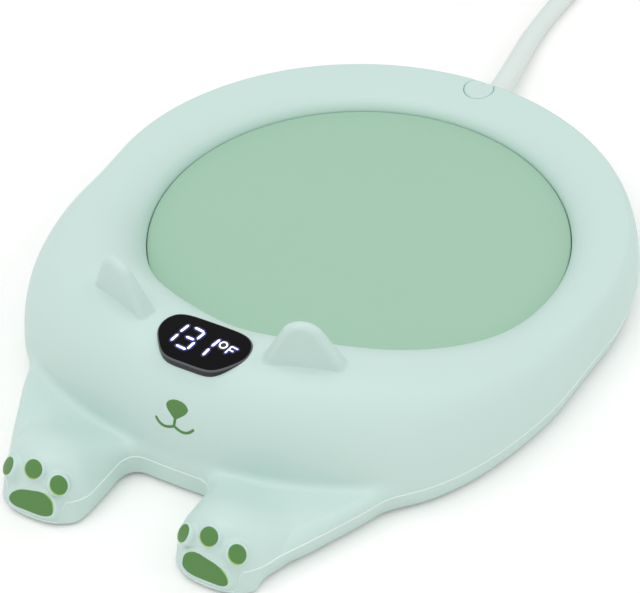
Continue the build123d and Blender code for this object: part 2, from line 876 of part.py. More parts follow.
with BuildPart() as display_module:
    tilted_block(module_size, lens_t)
save(display_module.part, "display_module")

with BuildPart() as display_board:
    tilted_block(display_board_size, module_depth)
    display_pins(small_screw[2] + screw_gap, module_depth, display_board_depth, Mode.SUBTRACT)
save(display_board.part, "display_board")

with BuildPart() as display_screws:
    head_r, head_h, shank_r, shank_l = small_screw
    display_pins(head_r, display_board_depth, display_board_depth + head_h, Mode.ADD)
    display_pins(shank_r, display_board_depth - shank_l, display_board_depth, Mode.ADD)
save(display_screws.part, "display_screws")

# ---- power button and switch ------------------------------------------------------

with BuildPart() as power_button:
    disc(button_r, flange_button_z, well, button_place)
    add(arch.part, mode=Mode.INTERSECT)
    disc(button_flange_r, flange_button_z, button_flange_t, button_place)
    behind = [(0, plate_y + button_rear + well / 2)]
    slab((well, well), flange_button_z, button_flange_t, behind, Mode.SUBTRACT)
    disc(nub_r, flange_button_z - nub_h, nub_h, button_place)
save(power_button.part, "power_button")

switch_spot = [(0, plate_y + button_y)]

with BuildPart() as switch_stem:
    disc(stem_r, stem_z, stem_h, switch_spot)
save(switch_stem.part, "switch_stem")

with BuildPart() as switch_body:
    slab(switch_size[:2], switch_z, switch_size[2], [(0, plate_y + switch_board_y)])
    disc(stem_r + stem_gap, stem_z - button_travel - stem_play, well, switch_spot, Mode.SUBTRACT)
save(switch_body.part, "switch_body")

with BuildPart() as switch_board:
    slab(switch_board_size[:2], switch_board_z, switch_board_size[2], [(0, plate_y + switch_board_y)])
    disc(small_screw[2] + screw_gap, switch_board_z, switch_board_size[2], switch_posts, Mode.SUBTRACT)
save(switch_board.part, "switch_board")

with BuildPart() as switch_board_screws:
    small_screws(switch_board_z, switch_posts, 1)
save(switch_board_screws.part, "switch_board_screws")

# ---- wires inside -----------------------------------------------------------------


def wire(points, bends):
    """Insulated wire through points, with one bend radius for each inner point."""
    with BuildLine() as path:
        FilletPolyline(*points, radius=bends)
    with BuildSketch(Plane(origin=path.line @ 0, z_dir=path.line % 0)) as section:
        Circle(lead_r)
    sweep(section.sketch, path=path.line)


def run_points(plan, x_shift, side):
    """Points of a wire at the wires' level, shifted from its neighbour."""
    return [(side * (x + x_shift), plate_y + y, lead_z) for x, y in plan]


with BuildPart() as mains_leads:
    for shift in (0, lead_pitch):
        points = run_points(mains_start + board_run, shift, 1)
        points.append((points[-1][0], points[-1][1], board_z))
        wire(points, [lead_turn] * (len(points) - 3) + [lead_bend])
save(mains_leads.part, "mains_leads")

with BuildPart() as switch_leads:
    for shift in (0, lead_pitch):
        points = run_points(switch_start + board_run, shift, -1)
        points.insert(0, (points[0][0], points[0][1], switch_board_z))
        points.append((points[-1][0], points[-1][1], board_z))
        wire(points, [lead_bend] + [lead_turn] * (len(points) - 4) + [lead_bend])
save(switch_leads.part, "switch_leads")

with BuildPart() as heater_leads:
    for side in (1, -1):
        start = (side * lead_pitch / 2, plate_y - heater_lead_reach)
        end = (start[0], plate_y - board_lead_reach)
        points = [(*start, heater_z), (*start, lead_z), (*end, lead_z), (*end, board_z)]
        wire(points, [lead_bend, lead_bend])
save(heater_leads.part, "heater_leads")

# ---- cord -------------------------------------------------------------------------


def in_row(point):
    """Route point given about the plate's axis, placed in the part's frame."""
    return Vector(point[0], point[1] + plate_y, point[2])


def tube(points, diameter):
    """Round tube along straight runs joined by tangent arcs."""
    radii = []
    for before, corner, after in zip(points, points[1:], points[2:]):
        turn = radians((corner - before).get_angle(after - corner))
        radii.append(run_share * min((corner - before).length, (after - corner).length) / tan(turn / 2))
    with BuildLine() as path:
        FilletPolyline(*points, radius=radii)
    with BuildSketch(Plane(origin=path.line @ 0, z_dir=path.line % 0)) as section:
        Circle(diameter / 2)
    sweep(section.sketch, path=path.line)
    length = sum(edge.length for edge in path.edges())
    print("cord arc radii", [round(r, 1) for r in radii])
    print("cord tube by section and length", round(length * pi * diameter**2 / 4, 1))


with BuildPart() as power_cord:
    tube([in_row(point) for point in cord_route], cord_d)
    print("cord tube by volume", round(power_cord.part.volume, 1))
save(power_cord.part, "power_cord")

with BuildPart() as strain_relief:
    with BuildSketch(Plane.XZ.offset(-(plate_y + collar_y - collar[1] / 2))):
        with Locations((0, collar_z)):
            Rectangle(collar[0], collar[2])
    extrude(amount=-collar[1])
    neck_y = collar_y + collar[1] / 2
    with BuildSketch(Plane.XZ.offset(-(plate_y + neck_y))):
        with Locations((0, exit_z)):
            Circle(neck_r)
    extrude(amount=-(relief_route[0][1] - neck_y))
    stations = [in_row(point) for point in relief_route]
    headings = [Vector(0, 1, 0)]
    headings += [after - before for before, after in zip(stations, stations[2:])]
    headings.append(in_row(cord_route[1]) - in_row(cord_route[0]))
    relief_faces = []
    for station, heading, radius in zip(stations, headings, relief_radii):
        with BuildSketch(Plane(origin=station, z_dir=heading)) as ring_face:
            Circle(radius)
        relief_faces.append(ring_face.sketch)
    loft(relief_faces)
save(strain_relief.part, "strain_relief")

with BuildPart() as cord_coil:
    coil_spot = [(coil_centre[0], coil_centre[1] + plate_y)]
    disc(coil_outer_r, table_gap, coil_h, coil_spot)
    disc(coil_inner_r, table_gap, coil_h, coil_spot, Mode.SUBTRACT)
    fillet(cord_coil.edges().filter_by(GeomType.CIRCLE), radius=coil_round)
save(cord_coil.part, "cord_coil")

with BuildPart() as cord_tie:
    tie_spot = in_row((coil_centre[0], coil_centre[1] - (coil_inner_r + coil_outer_r) / 2, 0))
    strand_w = coil_outer_r - coil_inner_r
    slab((tie_w, strand_w + 2 * tie_t), 0, table_gap + coil_h + tie_t, [(tie_spot.X, tie_spot.Y)])
    slab((tie_w, strand_w), tie_t, table_gap + coil_h - tie_t, [(tie_spot.X, tie_spot.Y)], Mode.SUBTRACT)
save(cord_tie.part, "cord_tie")

with BuildPart() as cord_tail:
    with BuildSketch(Plane(origin=in_row((tail_ends[0], tail_y, tail_z)), z_dir=(-1, 0, 0))):
        Circle(cord_d / 2)
    extrude(amount=tail_ends[0] - tail_ends[1])
save(cord_tail.part, "cord_tail")

plug_centre = in_row((tail_ends[1] - plug_size[0] / 2, tail_y, plug_size[2] / 2))
with BuildPart() as plug_body:
    with Locations(plug_centre):
        Box(plug_size[0], plug_size[1], plug_size[2])
    fillet(plug_body.edges(), radius=plug_round)
save(plug_body.part, "plug_body")

with BuildPart() as plug_blades:
    blade_x = plug_centre.X - plug_size[0] / 2 - blade_size[0] / 2
    blade_ys = (plug_centre.Y - blade_pitch / 2, plug_centre.Y + blade_pitch / 2)
    with Locations(*[(blade_x, y, plug_centre.Z) for y in blade_ys]):
        Box(blade_size[0], blade_size[1], blade_size[2])
    chamfer(plug_blades.edges().group_by(Axis.X)[0], length=blade_edge)
save(plug_blades.part, "plug_blades")
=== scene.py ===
import math
from itertools import product

import bmesh
import bpy
import numpy as np
from mathutils import Matrix, Vector


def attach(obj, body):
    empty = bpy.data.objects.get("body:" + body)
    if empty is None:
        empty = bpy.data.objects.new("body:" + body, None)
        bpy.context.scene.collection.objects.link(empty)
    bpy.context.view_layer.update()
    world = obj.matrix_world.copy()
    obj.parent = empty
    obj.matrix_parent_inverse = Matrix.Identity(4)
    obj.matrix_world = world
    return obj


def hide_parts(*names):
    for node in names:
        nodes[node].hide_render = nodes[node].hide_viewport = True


# Mug warmer shaped like a lying bear. Lengths below are millimetres in the part's
# frame and become metres when a mesh is made. +X is the bear's left, -Y its front.

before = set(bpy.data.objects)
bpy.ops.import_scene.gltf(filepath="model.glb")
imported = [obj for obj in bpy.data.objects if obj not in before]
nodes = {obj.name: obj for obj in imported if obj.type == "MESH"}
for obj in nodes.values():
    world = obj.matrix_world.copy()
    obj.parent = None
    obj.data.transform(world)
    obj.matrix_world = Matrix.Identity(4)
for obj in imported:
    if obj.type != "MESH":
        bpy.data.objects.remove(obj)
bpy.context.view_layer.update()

MM = 0.001

# ---- sizes that the shapes share ----

BASE_Z = 0.8
PARTING_Z = 5.8
LIP_Z = 9.0
PLATE_Z = 10.6
OPENING_R = 47.0
PLATE_R = 46.85
SKIRT_R = 49.8
PLATE_Y = 19.875
WALL = 2.0

CROWN_REAR = 4.65
CROWN_SWELL = 1.45
HEAD_RISE = 11.6
HEAD_FLAT, HEAD_END = 18.5, 81.5
BROW_DIP, BROW_END = 0.9, 16.0
FOOT_PLACES = (
    (-20, 79.0), (-10, 79.0), (0, 79.0), (15, 79.0), (27, 79.0), (34.6, 78.6), (43.7, 75.7), (56.4, 70.0),
    (69.2, 65.35), (77, 63.05), (84, 62.0), (91, 61.9), (110, 61.9), (150, 61.9), (200, 61.9),
)  # angle from the front and radius at the parting line
SHARE_FRONT, SHARE_RING, SHARE_END = 0.50, 0.78, 113.0
KAPPA, SHOULDER = 0.5523, 0.60
WELL_ARMS = ((0.02, -0.02), (0.58, -0.105), (0.60, -0.075))  # behind, and their change to the front

LENS_REACH, LENS_TOP, LENS_TILT = 65.75, 18.6, math.radians(8.7)
BUTTON_Y = 56.6
BUTTON_R, BUTTON_HOLE_R, BUTTON_EDGE = 3.46, 3.52, 0.55


def ahead(x, reach, z=0.0):
    """Point off the middle and ahead of the plate's axis."""
    return (x, PLATE_Y - reach, z)


def local(x, y, z, axes):
    """Coordinates along the directions of a frame, from its centre."""
    centre, *ways = axes
    gap = (x - centre[0], y - centre[1], z - centre[2])
    return [gap[0] * d[0] + gap[1] * d[1] + gap[2] * d[2] for d in ways]


# ---- small tools ----


def ease(u):
    u = np.clip(u, 0.0, 1.0)
    return u * u * (3 - 2 * u)


def smooth_min(a, b, k):
    h = np.maximum(k - np.abs(a - b), 0.0) / k
    return np.minimum(a, b) - h * h * k / 4


def smooth_max(a, b, k):
    return -smooth_min(-a, -b, k)


def round_max(a, b, r):
    """Intersection with an edge rounded to a radius."""
    a, b = a + r, b + r
    return np.minimum(np.maximum(a, b), 0) + np.hypot(np.maximum(a, 0), np.maximum(b, 0)) - r


def circle(count):
    """Points of the unit circle, counter-clockwise."""
    turns = 2 * math.pi * np.arange(count) / count
    return np.stack([np.cos(turns), np.sin(turns)], axis=1)


def outline_normals(outline):
    """Unit normals of a closed outline, outward where it runs counter-clockwise."""
    way = np.roll(outline, -1, axis=0) - np.roll(outline, 1, axis=0)
    way /= np.hypot(*way.T)[:, None]
    return np.stack([way[:, 1], -way[:, 0]], axis=1)


def spline_through(points, steps, start=None, end=None):
    """Smooth curve through plan points, with optional end directions."""
    p = np.array(points, float)
    chord = np.hypot(*np.diff(p, axis=0).T)
    n = len(p)
    system = np.zeros((n, n))
    right = np.zeros((n, 2))
    for i in range(1, n - 1):
        a, b = chord[i - 1], chord[i]
        system[i, i - 1 : i + 2] = (b, 2 * (a + b), a)
        right[i] = 3 * (b * (p[i] - p[i - 1]) / a + a * (p[i + 1] - p[i]) / b)
    for row, other, way in ((0, 1, start), (n - 1, n - 2, end)):
        system[row, row] = 1.0
        if way is None:
            first = min(row, other)
            system[row, other] = 0.5
            right[row] = 1.5 * (p[first + 1] - p[first]) / chord[first]
        else:
            right[row] = np.array(way) / np.hypot(*way)
    slope = np.linalg.solve(system, right)
    t = np.linspace(0, 1, steps, endpoint=False)[:, None]
    runs = []
    for i, h in enumerate(chord):
        pull = (t**3 - 2 * t**2 + t) * h * slope[i] + (t**3 - t**2) * h * slope[i + 1]
        runs.append(p[i] + (3 * t**2 - 2 * t**3) * (p[i + 1] - p[i]) + pull)
    return np.vstack(runs + [p[-1:]])


def polygon_distance(x, y, outline):
    """Signed distance to a closed outline, negative inside."""
    a = np.array(outline, float)
    b = np.roll(a, -1, axis=0)
    best = np.full(x.shape, 1e9)
    inside = np.zeros(x.shape, bool)
    for (ax, ay), (bx, by) in zip(a, b):
        ex, ey = bx - ax, by - ay
        t = np.clip(((x - ax) * ex + (y - ay) * ey) / (ex * ex + ey * ey), 0, 1)
        best = np.minimum(best, (x - ax - t * ex) ** 2 + (y - ay - t * ey) ** 2)
        if ay != by:
            crosses = (ay > y) != (by > y)
            inside ^= crosses & (x < ax + (y - ay) * ex / ey)
    return np.where(inside, -1.0, 1.0) * np.sqrt(best)

def near_outline(u, v, w, outline, box, far):
    """Distance to an outline in u and v, worked out only within a box around it."""
    near = (np.abs(u) < box[0]) & (np.abs(v) < box[1]) & (np.abs(w) < box[2])
    plan = np.full(np.shape(u), far)
    plan[near] = polygon_distance(u[near], v[near], outline)
    return plan


# ---- ring and head ----

FOOT_LINE = spline_through(FOOT_PLACES, 12).T


def arch_measures(angle):
    """Crown height and radii at an angle in degrees from the front."""
    crown = CROWN_REAR + CROWN_SWELL * (1 + np.cos(np.radians(angle)))
    crown = crown + HEAD_RISE * ease((HEAD_END - angle) / (HEAD_END - HEAD_FLAT))
    crown = crown - BROW_DIP * ease((BROW_END - angle) / BROW_END)
    foot = np.interp(angle, *FOOT_LINE)
    face = ease((SHARE_END - angle) / SHARE_END)
    share = SHARE_RING + (SHARE_FRONT - SHARE_RING) * face
    return crown, foot, face, OPENING_R + share * (foot - OPENING_R)


def bezier(t, p0, p1, p2, p3):
    s = 1 - t
    return s**3 * p0 + 3 * s * s * t * p1 + 3 * s * t * t * p2 + t**3 * p3


def bezier_slopes(t, p0, p1, p2, p3):
    """First and second derivative of a Bezier coordinate."""
    s = 1 - t
    first = 3 * (s * s * (p1 - p0) + 2 * s * t * (p2 - p1) + t * t * (p3 - p2))
    return first, 6 * (s * (p2 - 2 * p1 + p0) + t * (p3 - 2 * p2 + p1))


def arch_distance(r, z, angle):
    """Signed distance to the arch's section at each angle, negative inside. r and
    angle are about the plate's axis and z is above the plate."""
    crown, foot, face, top_r = arch_measures(angle)
    inner_w = top_r - OPENING_R
    outer_w = foot - top_r
    low = PARTING_Z - PLATE_Z
    foot_arm, top_arm, rise_arm = [rear + change * face for rear, change in WELL_ARMS]
    out_arm = KAPPA + (SHOULDER - KAPPA) * face
    inner = (
        (OPENING_R + 0 * crown, OPENING_R + foot_arm * inner_w, top_r - top_arm * inner_w, top_r),
        (0 * crown, rise_arm * crown, crown, crown),
    )
    outer = (
        (top_r, top_r + out_arm * outer_w, foot, foot),
        (crown, crown, low + out_arm * (crown - low), low + 0 * crown),
    )
    found = []
    for rs, zs in (inner, outer):
        near = np.full(r.shape, 1e9)
        at = np.zeros(r.shape)
        for t in np.linspace(0, 1, 15):
            d = (bezier(t, *rs) - r) ** 2 + (bezier(t, *zs) - z) ** 2
            at = np.where(d < near, t, at)
            near = np.minimum(near, d)
        for _ in range(4):
            gap_r, gap_z = bezier(at, *rs) - r, bezier(at, *zs) - z
            (way_r, turn_r), (way_z, turn_z) = bezier_slopes(at, *rs), bezier_slopes(at, *zs)
            speed = way_r**2 + way_z**2
            bend = speed + gap_r * turn_r + gap_z * turn_z
            at = np.clip(at - (gap_r * way_r + gap_z * way_z) / np.maximum(bend, 1e-3 * speed + 1e-9), 0, 1)
        gap_r, gap_z = bezier(at, *rs) - r, bezier(at, *zs) - z
        way_r, way_z = bezier_slopes(at, *rs)[0], bezier_slopes(at, *zs)[0]
        found.append((np.hypot(gap_r, gap_z), way_z * gap_r - way_r * gap_z))
    for edge_r, top_z, outward in ((OPENING_R, 0.0, -1.0), (foot, low, 1.0)):
        beyond = np.where((r - edge_r) * outward > 0, 1.0, -1.0)
        found.append((np.hypot(r - edge_r, np.maximum(z - top_z, 0)), beyond))
    best, sign = found[0]
    for distance, side in found[1:]:
        closer = distance < best
        sign = np.where(closer, side, sign)
        best = np.where(closer, distance, best)
    return np.where(sign >= 0, best, -best)


def polar(x, y):
    dy = y - PLATE_Y
    return np.hypot(x, dy), np.degrees(np.arctan2(np.abs(x), -dy))


def tabled_arch():
    """Quick stand-in for the arch's distance, read from a table, for the coarse pass."""
    lows, steps, counts = (38.0, -16.0, 0.0), (0.75, 0.75, 2.0), (72, 62, 92)
    axes = [low + step * np.arange(count) for low, step, count in zip(lows, steps, counts)]
    radii, heights, angles = np.meshgrid(*axes, indexing="ij")
    values = arch_distance(radii, heights, np.minimum(angles, 180.0))

    def distance(*place):
        cell, part = [], []
        for q, low, step, count in zip(place, lows, steps, counts):
            q = np.clip((q - low) / step, 0, count - 1.001)
            cell.append(q.astype(np.int32))
            part.append(q - cell[-1])
        total = 0.0
        for corner in product((0, 1), repeat=3):
            weight = 1.0
            for flag, share in zip(corner, part):
                weight = weight * (share if flag else 1 - share)
            total = total + weight * values[tuple(whole + flag for whole, flag in zip(cell, corner))]
        return total

    return distance


# ---- arms, paws, ears, display seat ----

ARM_POINTS = ((44.3, 63.5), (41.9, 69.9), (38.4, 78.0), (35.0, 85.9), (31.9, 92.9))
ARM_START, ARM_END = (-0.5, 0.86), (-0.42, 0.91)
RIM_POINTS = ((31.9, 92.9), (28.6, 97.9), (20.8, 100.1), (13.2, 97.9), (10.4, 92.5))
NOTCH_HALF, NOTCH_REACH, NOTCH_R = 10.4, 78.9, 4.6
ARM_TOP = PARTING_Z + 2.6
ARM_ROUND = 2.2


def arm_outline():
    """The +X arm in plan, as x and reach."""
    flank = spline_through(ARM_POINTS, 8, ARM_START, ARM_END)
    rim = spline_through(RIM_POINTS, 10, ARM_END, (0, -1))
    corner = NOTCH_HALF - NOTCH_R, NOTCH_REACH + NOTCH_R
    turns = np.radians(np.linspace(0, 90, 10))
    notch = [(corner[0] + NOTCH_R * math.cos(t), corner[1] - NOTCH_R * math.sin(t)) for t in turns]
    rest = [(-1.0, NOTCH_REACH), (-1.0, 55.0), (38.0, 55.0)]
    return np.vstack([flank[:-1], rim, notch, rest])


ARM_OUTLINE = arm_outline()

PAW_X, PAW_TOP, PAW_FALL = 20.8, 14.7, 0.05
PAW_RIDGE, PAW_SLOPE = 93.0, 17.0  # ridge's reach, and the length of the rise to it
PAW_ROUND, PAW_SOFT = 4.4, 0.1
TOES_FROM, TOES_RUN = 92.5, 6.0  # reach where the paws' front starts, and its length
SIDE_LEAN, FRONT_LEAN, SOLE_LEAN = 0.13, 0.27, 0.17
BAND_DRAFT = 0.2

EAR_X, EAR_REACH, EAR_TURN = 22.0, 62.8, math.radians(20.3)
EAR_BASE, EAR_ROOT = PLATE_Z + 18.9, 4.0
EAR_HALF, EAR_PEAK = 8.4, 16.9
EAR_TIP_R, EAR_LEAN = 4.4, math.tan(math.radians(5.0))
EAR_ROOT_T, EAR_TIP_T, EAR_TIP_Z = 4.0, 2.3, 11.2
EAR_FRONT_EDGE, EAR_REAR_EDGE = 1.4, 0.9

# Each toe: x, reach, height over the plate, splay and lift in degrees.
TOES = ((14.7, 98.6, 0.0, -42.0, 30.0), (20.65, 98.5, 1.75, 0.0, 34.0), (27.0, 98.5, -0.15, 42.0, 30.0))
TOE_R, TOE_DEPTH = 2.45, 3.0
TOE_PRINT, MIDDLE_PRINT = (1.75, 2.08), (1.98, 1.98)
PAD_AT = (20.5, 100.4, -5.6)
PAD_TILT = math.radians(75.0)
PAD_MARGIN, PAD_RISE, PAD_DEPTH, PAD_EDGE = 0.75, 0.15, 2.5, 0.7
PAD_POINTS = (
    (-5.2, 0.1), (-4.9, 1.5), (-3.5, 2.7), (-1.2, 3.15), (1.3, 2.7), (3.5, 1.5), (5.15, -0.1),
    (5.4, -1.4), (4.6, -2.2), (2.7, -2.5), (0.3, -2.5), (-2.2, -2.45), (-4.0, -2.0), (-5.1, -1.0),
)

LENS_SIDE_POINTS = (
    (0.0, 6.1), (1.65, 6.1), (3.5, 6.07), (5.95, 5.95), (8.75, 5.05), (10.38, 2.75), (10.4, 0.0),
    (9.05, -2.43), (7.5, -4.33), (5.7, -5.7), (3.55, -6.2), (1.65, -6.25), (0.0, -6.25),
)


def tilted_frame(x, reach, height, tilt):
    """Centre of a plane tilted about X, with its right, up and outward directions."""
    c, s = math.cos(tilt), math.sin(tilt)
    centre = np.array(ahead(x, reach, PLATE_Z + height))
    return centre, np.array((1.0, 0, 0)), np.array((0, c, s)), np.array((0, -s, c))


LENS_FRAME = tilted_frame(0, LENS_REACH, LENS_TOP, LENS_TILT)
PAD_FRAME = tilted_frame(*PAD_AT, PAD_TILT)


def lens_outline(grow=0.0, steps=8):
    """The display's outline in its own plane, counter-clockwise."""
    side = spline_through(LENS_SIDE_POINTS, steps, (1, 0), (-1, 0))
    outline = np.vstack([side[::-1], (side * (-1, 1))[1:-1]])
    return outline + grow * outline_normals(outline)


SEAT_OUTLINE = lens_outline(0.4, 2)
SEAT_DROP, SEAT_DEPTH, SEAT_EDGE = 2.2, 6.0, 1.6


def toe_share(reach):
    """From 0 on the arm to 1 at the paw's front."""
    return ease((reach - TOES_FROM) / TOES_RUN)


def limb_distance(x, y, z, plan):
    """Arm and paw: their outline in plan under a top that rises towards the toes."""
    reach = PLATE_Y - y
    rise = ease((reach - PAW_RIDGE + PAW_SLOPE) / PAW_SLOPE)
    crown = PAW_TOP - PAW_FALL * (x - PAW_X) ** 2
    top = ARM_TOP + rise * np.maximum(crown - ARM_TOP, 0)
    lean = SIDE_LEAN * rise + (FRONT_LEAN - SIDE_LEAN) * toe_share(reach)
    wall = plan + lean * (z - PARTING_Z)
    return round_max(wall, (z - top) * (1 - PAW_SOFT * rise), ARM_ROUND + (PAW_ROUND - ARM_ROUND) * rise)


def ear_distance(x, y, z):
    dx = x - EAR_X
    dy = y - (PLATE_Y - EAR_REACH)
    rise = z - EAR_BASE
    along = dx * math.cos(EAR_TURN) + dy * math.sin(EAR_TURN)
    depth = dy * math.cos(EAR_TURN) - dx * math.sin(EAR_TURN) + EAR_LEAN * rise
    slant = math.hypot(EAR_HALF, EAR_PEAK)
    across, over = EAR_PEAK / slant, EAR_HALF / slant
    side = (np.abs(along) - EAR_HALF) * across + rise * over
    tip_z = EAR_PEAK - EAR_TIP_R / over
    at_tip = (rise - tip_z) * across > np.abs(along) * over
    outline = np.where(at_tip, np.hypot(along, rise - tip_z) - EAR_TIP_R, side)
    thick = EAR_ROOT_T + (EAR_TIP_T - EAR_ROOT_T) * rise / EAR_TIP_Z
    shape = round_max(outline, -depth, EAR_FRONT_EDGE)
    shape = round_max(shape, 0.97 * (depth - thick), EAR_REAR_EDGE)
    return smooth_max(shape, -rise - EAR_ROOT, 0.5)


def seat_distance(x, y, z):
    """Raised seat that carries the display on the forehead."""
    u, v, w = local(x, y, z, LENS_FRAME)
    plan = near_outline(u, v, w, SEAT_OUTLINE, (22, 16, 12), 8.0)
    return smooth_max(smooth_max(plan, w + SEAT_DROP, SEAT_EDGE), -w - SEAT_DEPTH, 0.5)


def toe_frame(x, reach, height, splay, lift):
    """Centre of a toe's pad with its right, up and outward directions."""
    splay, lift = math.radians(splay), math.radians(lift)
    out = np.array((math.sin(splay) * math.cos(lift), -math.cos(splay) * math.cos(lift), math.sin(lift)))
    right = np.cross((0.0, 0.0, 1.0), -out)
    right /= np.linalg.norm(right)
    return np.array(ahead(x, reach, PLATE_Z + height)), right, np.cross(out, right), out


PAD_OUTLINE = spline_through(PAD_POINTS + PAD_POINTS[:1], 4)[:-1]


def pads_distance(x, y, z):
    """Toe pads and the big pad of the +X paw."""
    shape = np.full(np.shape(x), 6.0)
    for toe in TOES:
        u, v, w = local(x, y, z, toe_frame(*toe))
        drum = smooth_max(smooth_max(np.hypot(u, v) - TOE_R, w, PAD_EDGE), -w - TOE_DEPTH, 0.5)
        shape = np.minimum(shape, drum)
    u, v, w = local(x, y, z, PAD_FRAME)
    plan = near_outline(u, v, w, PAD_OUTLINE, (9, 7, 5), 6.0 + PAD_MARGIN) - PAD_MARGIN
    slab = smooth_max(smooth_max(plan, w - PAD_RISE, PAD_EDGE), -w - PAD_DEPTH, 0.5)
    return np.minimum(shape, slab)


# ---- the top cover as one blended surface ----

STEP_REACH, STEP_RUN, STEP_FLOOR = 98.3, 1.7, BASE_Z + 0.3
BUTTON_AT = (0.8, PLATE_Y + BUTTON_Y)
SEAT_BLEND, EAR_BLEND, LIMB_BLEND, PAD_BLEND = 2.0, 0.5, 2.2, 0.8
NOTCH_SIDE, NOTCH_FROM, NOTCH_RUN = 16.0, 72.0, 4.0
EDGE_BACK, EDGE_LAP = 0.7, 0.8  # the cover's lower edge behind the base's wall
HOLLOW_FRONT = -28.5


def from_button(x, y):
    return np.hypot(x - BUTTON_AT[0], y - BUTTON_AT[1])


def form_distance(x, y, z, arch=arch_distance, plan=None):
    """Signed distance to the body's outer form, taken as solid. plan is the arms'
    distance in plan where it is known. Below the parting line the walls draw in, stand
    upright in the notch and flare at the toes."""
    side = np.abs(x)
    reach = PLATE_Y - y
    sink = np.maximum(PARTING_Z - z, 0)
    z = np.maximum(z, PARTING_Z)
    front = toe_share(reach)
    notch = ease((NOTCH_SIDE - side) / NOTCH_RUN) * ease((reach - NOTCH_FROM) / NOTCH_RUN)
    draw = BAND_DRAFT * (1 - front) * (1 - notch) - SOLE_LEAN * front
    r, angle = polar(x, y)
    shape = arch(r, z - PLATE_Z, angle)
    shape = smooth_min(shape, seat_distance(x, y, z), SEAT_BLEND)
    shape = smooth_min(shape, ear_distance(side, y, z), EAR_BLEND)
    if plan is None:
        plan = polygon_distance(side, reach, ARM_OUTLINE)
    shape = smooth_min(shape, limb_distance(side, y, z, plan), LIMB_BLEND)
    shape = smooth_min(shape + draw * sink, pads_distance(side, y, z - sink), PAD_BLEND)
    return np.where(r < OPENING_R + 6, np.maximum(shape, OPENING_R - r), shape)


def parting_height(reach):
    """Height of the line where the two covers meet; it drops ahead of the toes."""
    return PARTING_Z - (PARTING_Z - STEP_FLOOR) * ease((reach - STEP_REACH) / STEP_RUN)


def cover_distance(x, y, z, arch=arch_distance, plan=None):
    """Signed distance to the hollow top cover with its opening and button hole."""
    shape = form_distance(x, y, z, arch, plan)
    room = smooth_max(shape + WALL, y - HOLLOW_FRONT, 0.5)
    edge = np.maximum(parting_height(PLATE_Y - y + EDGE_BACK) - EDGE_LAP, BASE_Z)
    shape = smooth_max(smooth_max(shape, 0.6 * (edge - z), 0.15), -room, 0.5)
    shape = np.maximum(shape, -np.maximum(polar(x, y)[0] - SKIRT_R, z - LIP_Z))
    return smooth_max(shape, BUTTON_HOLE_R - from_button(x, y), BUTTON_EDGE)


def surface_nets(values, low, step):
    """Vertices and quads of the zero surface of a sampled field."""
    inside = values < 0
    shape = np.array(values.shape) - 1
    ids = np.arange(shape.prod()).reshape(shape)
    total, hits = np.zeros((shape.prod(), 3)), np.zeros(shape.prod())
    quads = []
    for axis in range(3):
        u, v = (axis + 1) % 3, (axis + 2) % 3
        here, there = [slice(None)] * 3, [slice(None)] * 3
        here[axis], there[axis] = slice(0, -1), slice(1, None)
        here, there = tuple(here), tuple(there)
        spots = np.argwhere(inside[here] != inside[there])
        across = spots[:, (u, v)]
        spots = spots[((across > 0) & (across < shape[[u, v]])).all(axis=1)]
        at = tuple(spots.T)
        a, b = values[here][at], values[there][at]
        points = spots.astype(float)
        points[:, axis] += a / (a - b)
        ring = []
        for du, dv in ((1, 1), (0, 1), (0, 0), (1, 0)):
            cell = spots.copy()
            cell[:, (u, v)] -= (du, dv)
            ring.append(ids[tuple(cell.T)])
            hits += np.bincount(ring[-1], minlength=len(hits))
            for c in range(3):
                total[:, c] += np.bincount(ring[-1], weights=points[:, c], minlength=len(hits))
        ring = np.stack(ring, axis=1)
        outside = a >= 0
        ring[outside] = ring[outside][:, ::-1]
        quads.append(ring)
    used = np.flatnonzero(hits)
    index = np.full(len(hits), -1)
    index[used] = np.arange(len(used))
    return low + step * total[used] / hits[used][:, None], index[np.vstack(quads)]


def gradient(field, points, eps=0.05):
    """Slope of a field at points, by central differences."""
    slopes = []
    for shift in eps * np.eye(3):
        slopes.append((field(*(points + shift).T) - field(*(points - shift).T)) / (2 * eps))
    return np.stack(slopes, axis=1)


def settle(field, points, rounds=2, reach=0.6):
    """Move points onto the field's zero surface and return them with its normals."""
    for _ in range(rounds):
        value = field(*points.T)
        slope = gradient(field, points)
        size = np.maximum((slope**2).sum(axis=1), 0.2)
        move = -(value / size)[:, None] * slope
        length = np.linalg.norm(move, axis=1)
        move *= np.minimum(1, reach / np.maximum(length, 1e-9))[:, None]
        points = points + move
    slope = gradient(field, points)
    return points, slope / np.maximum(np.linalg.norm(slope, axis=1), 1e-9)[:, None]


# ---- making objects ----


def link_object(name, data):
    obj = bpy.data.objects.new(name, data)
    bpy.context.scene.collection.objects.link(obj)
    return obj


def new_object(name, verts, faces, body="housing", smooth=True, normals=None):
    """Mesh object from points in millimetres; it rides on a body unless that is None."""
    mesh = bpy.data.meshes.new(name)
    mesh.from_pydata((np.array(verts, float) * MM).tolist(), [], [tuple(map(int, f)) for f in faces])
    mesh.validate()
    mesh.polygons.foreach_set("use_smooth", [smooth] * len(mesh.polygons))
    if normals is not None and len(mesh.vertices) == len(verts):
        mesh.normals_split_custom_set_from_vertices(np.asarray(normals).tolist())
    mesh.update()
    obj = link_object(name, mesh)
    if body:
        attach(obj, body)
    return obj


def rows_mesh(rows, closed_rows=False):
    """Points and faces of a skin through closed rows of equal point count."""
    count, faces = len(rows[0]), []
    for a in range(len(rows) if closed_rows else len(rows) - 1):
        b = (a + 1) % len(rows)
        for i in range(count):
            j = (i + 1) % count
            faces.append((a * count + i, a * count + j, b * count + j, b * count + i))
    return [tuple(p) for row in rows for p in row], faces


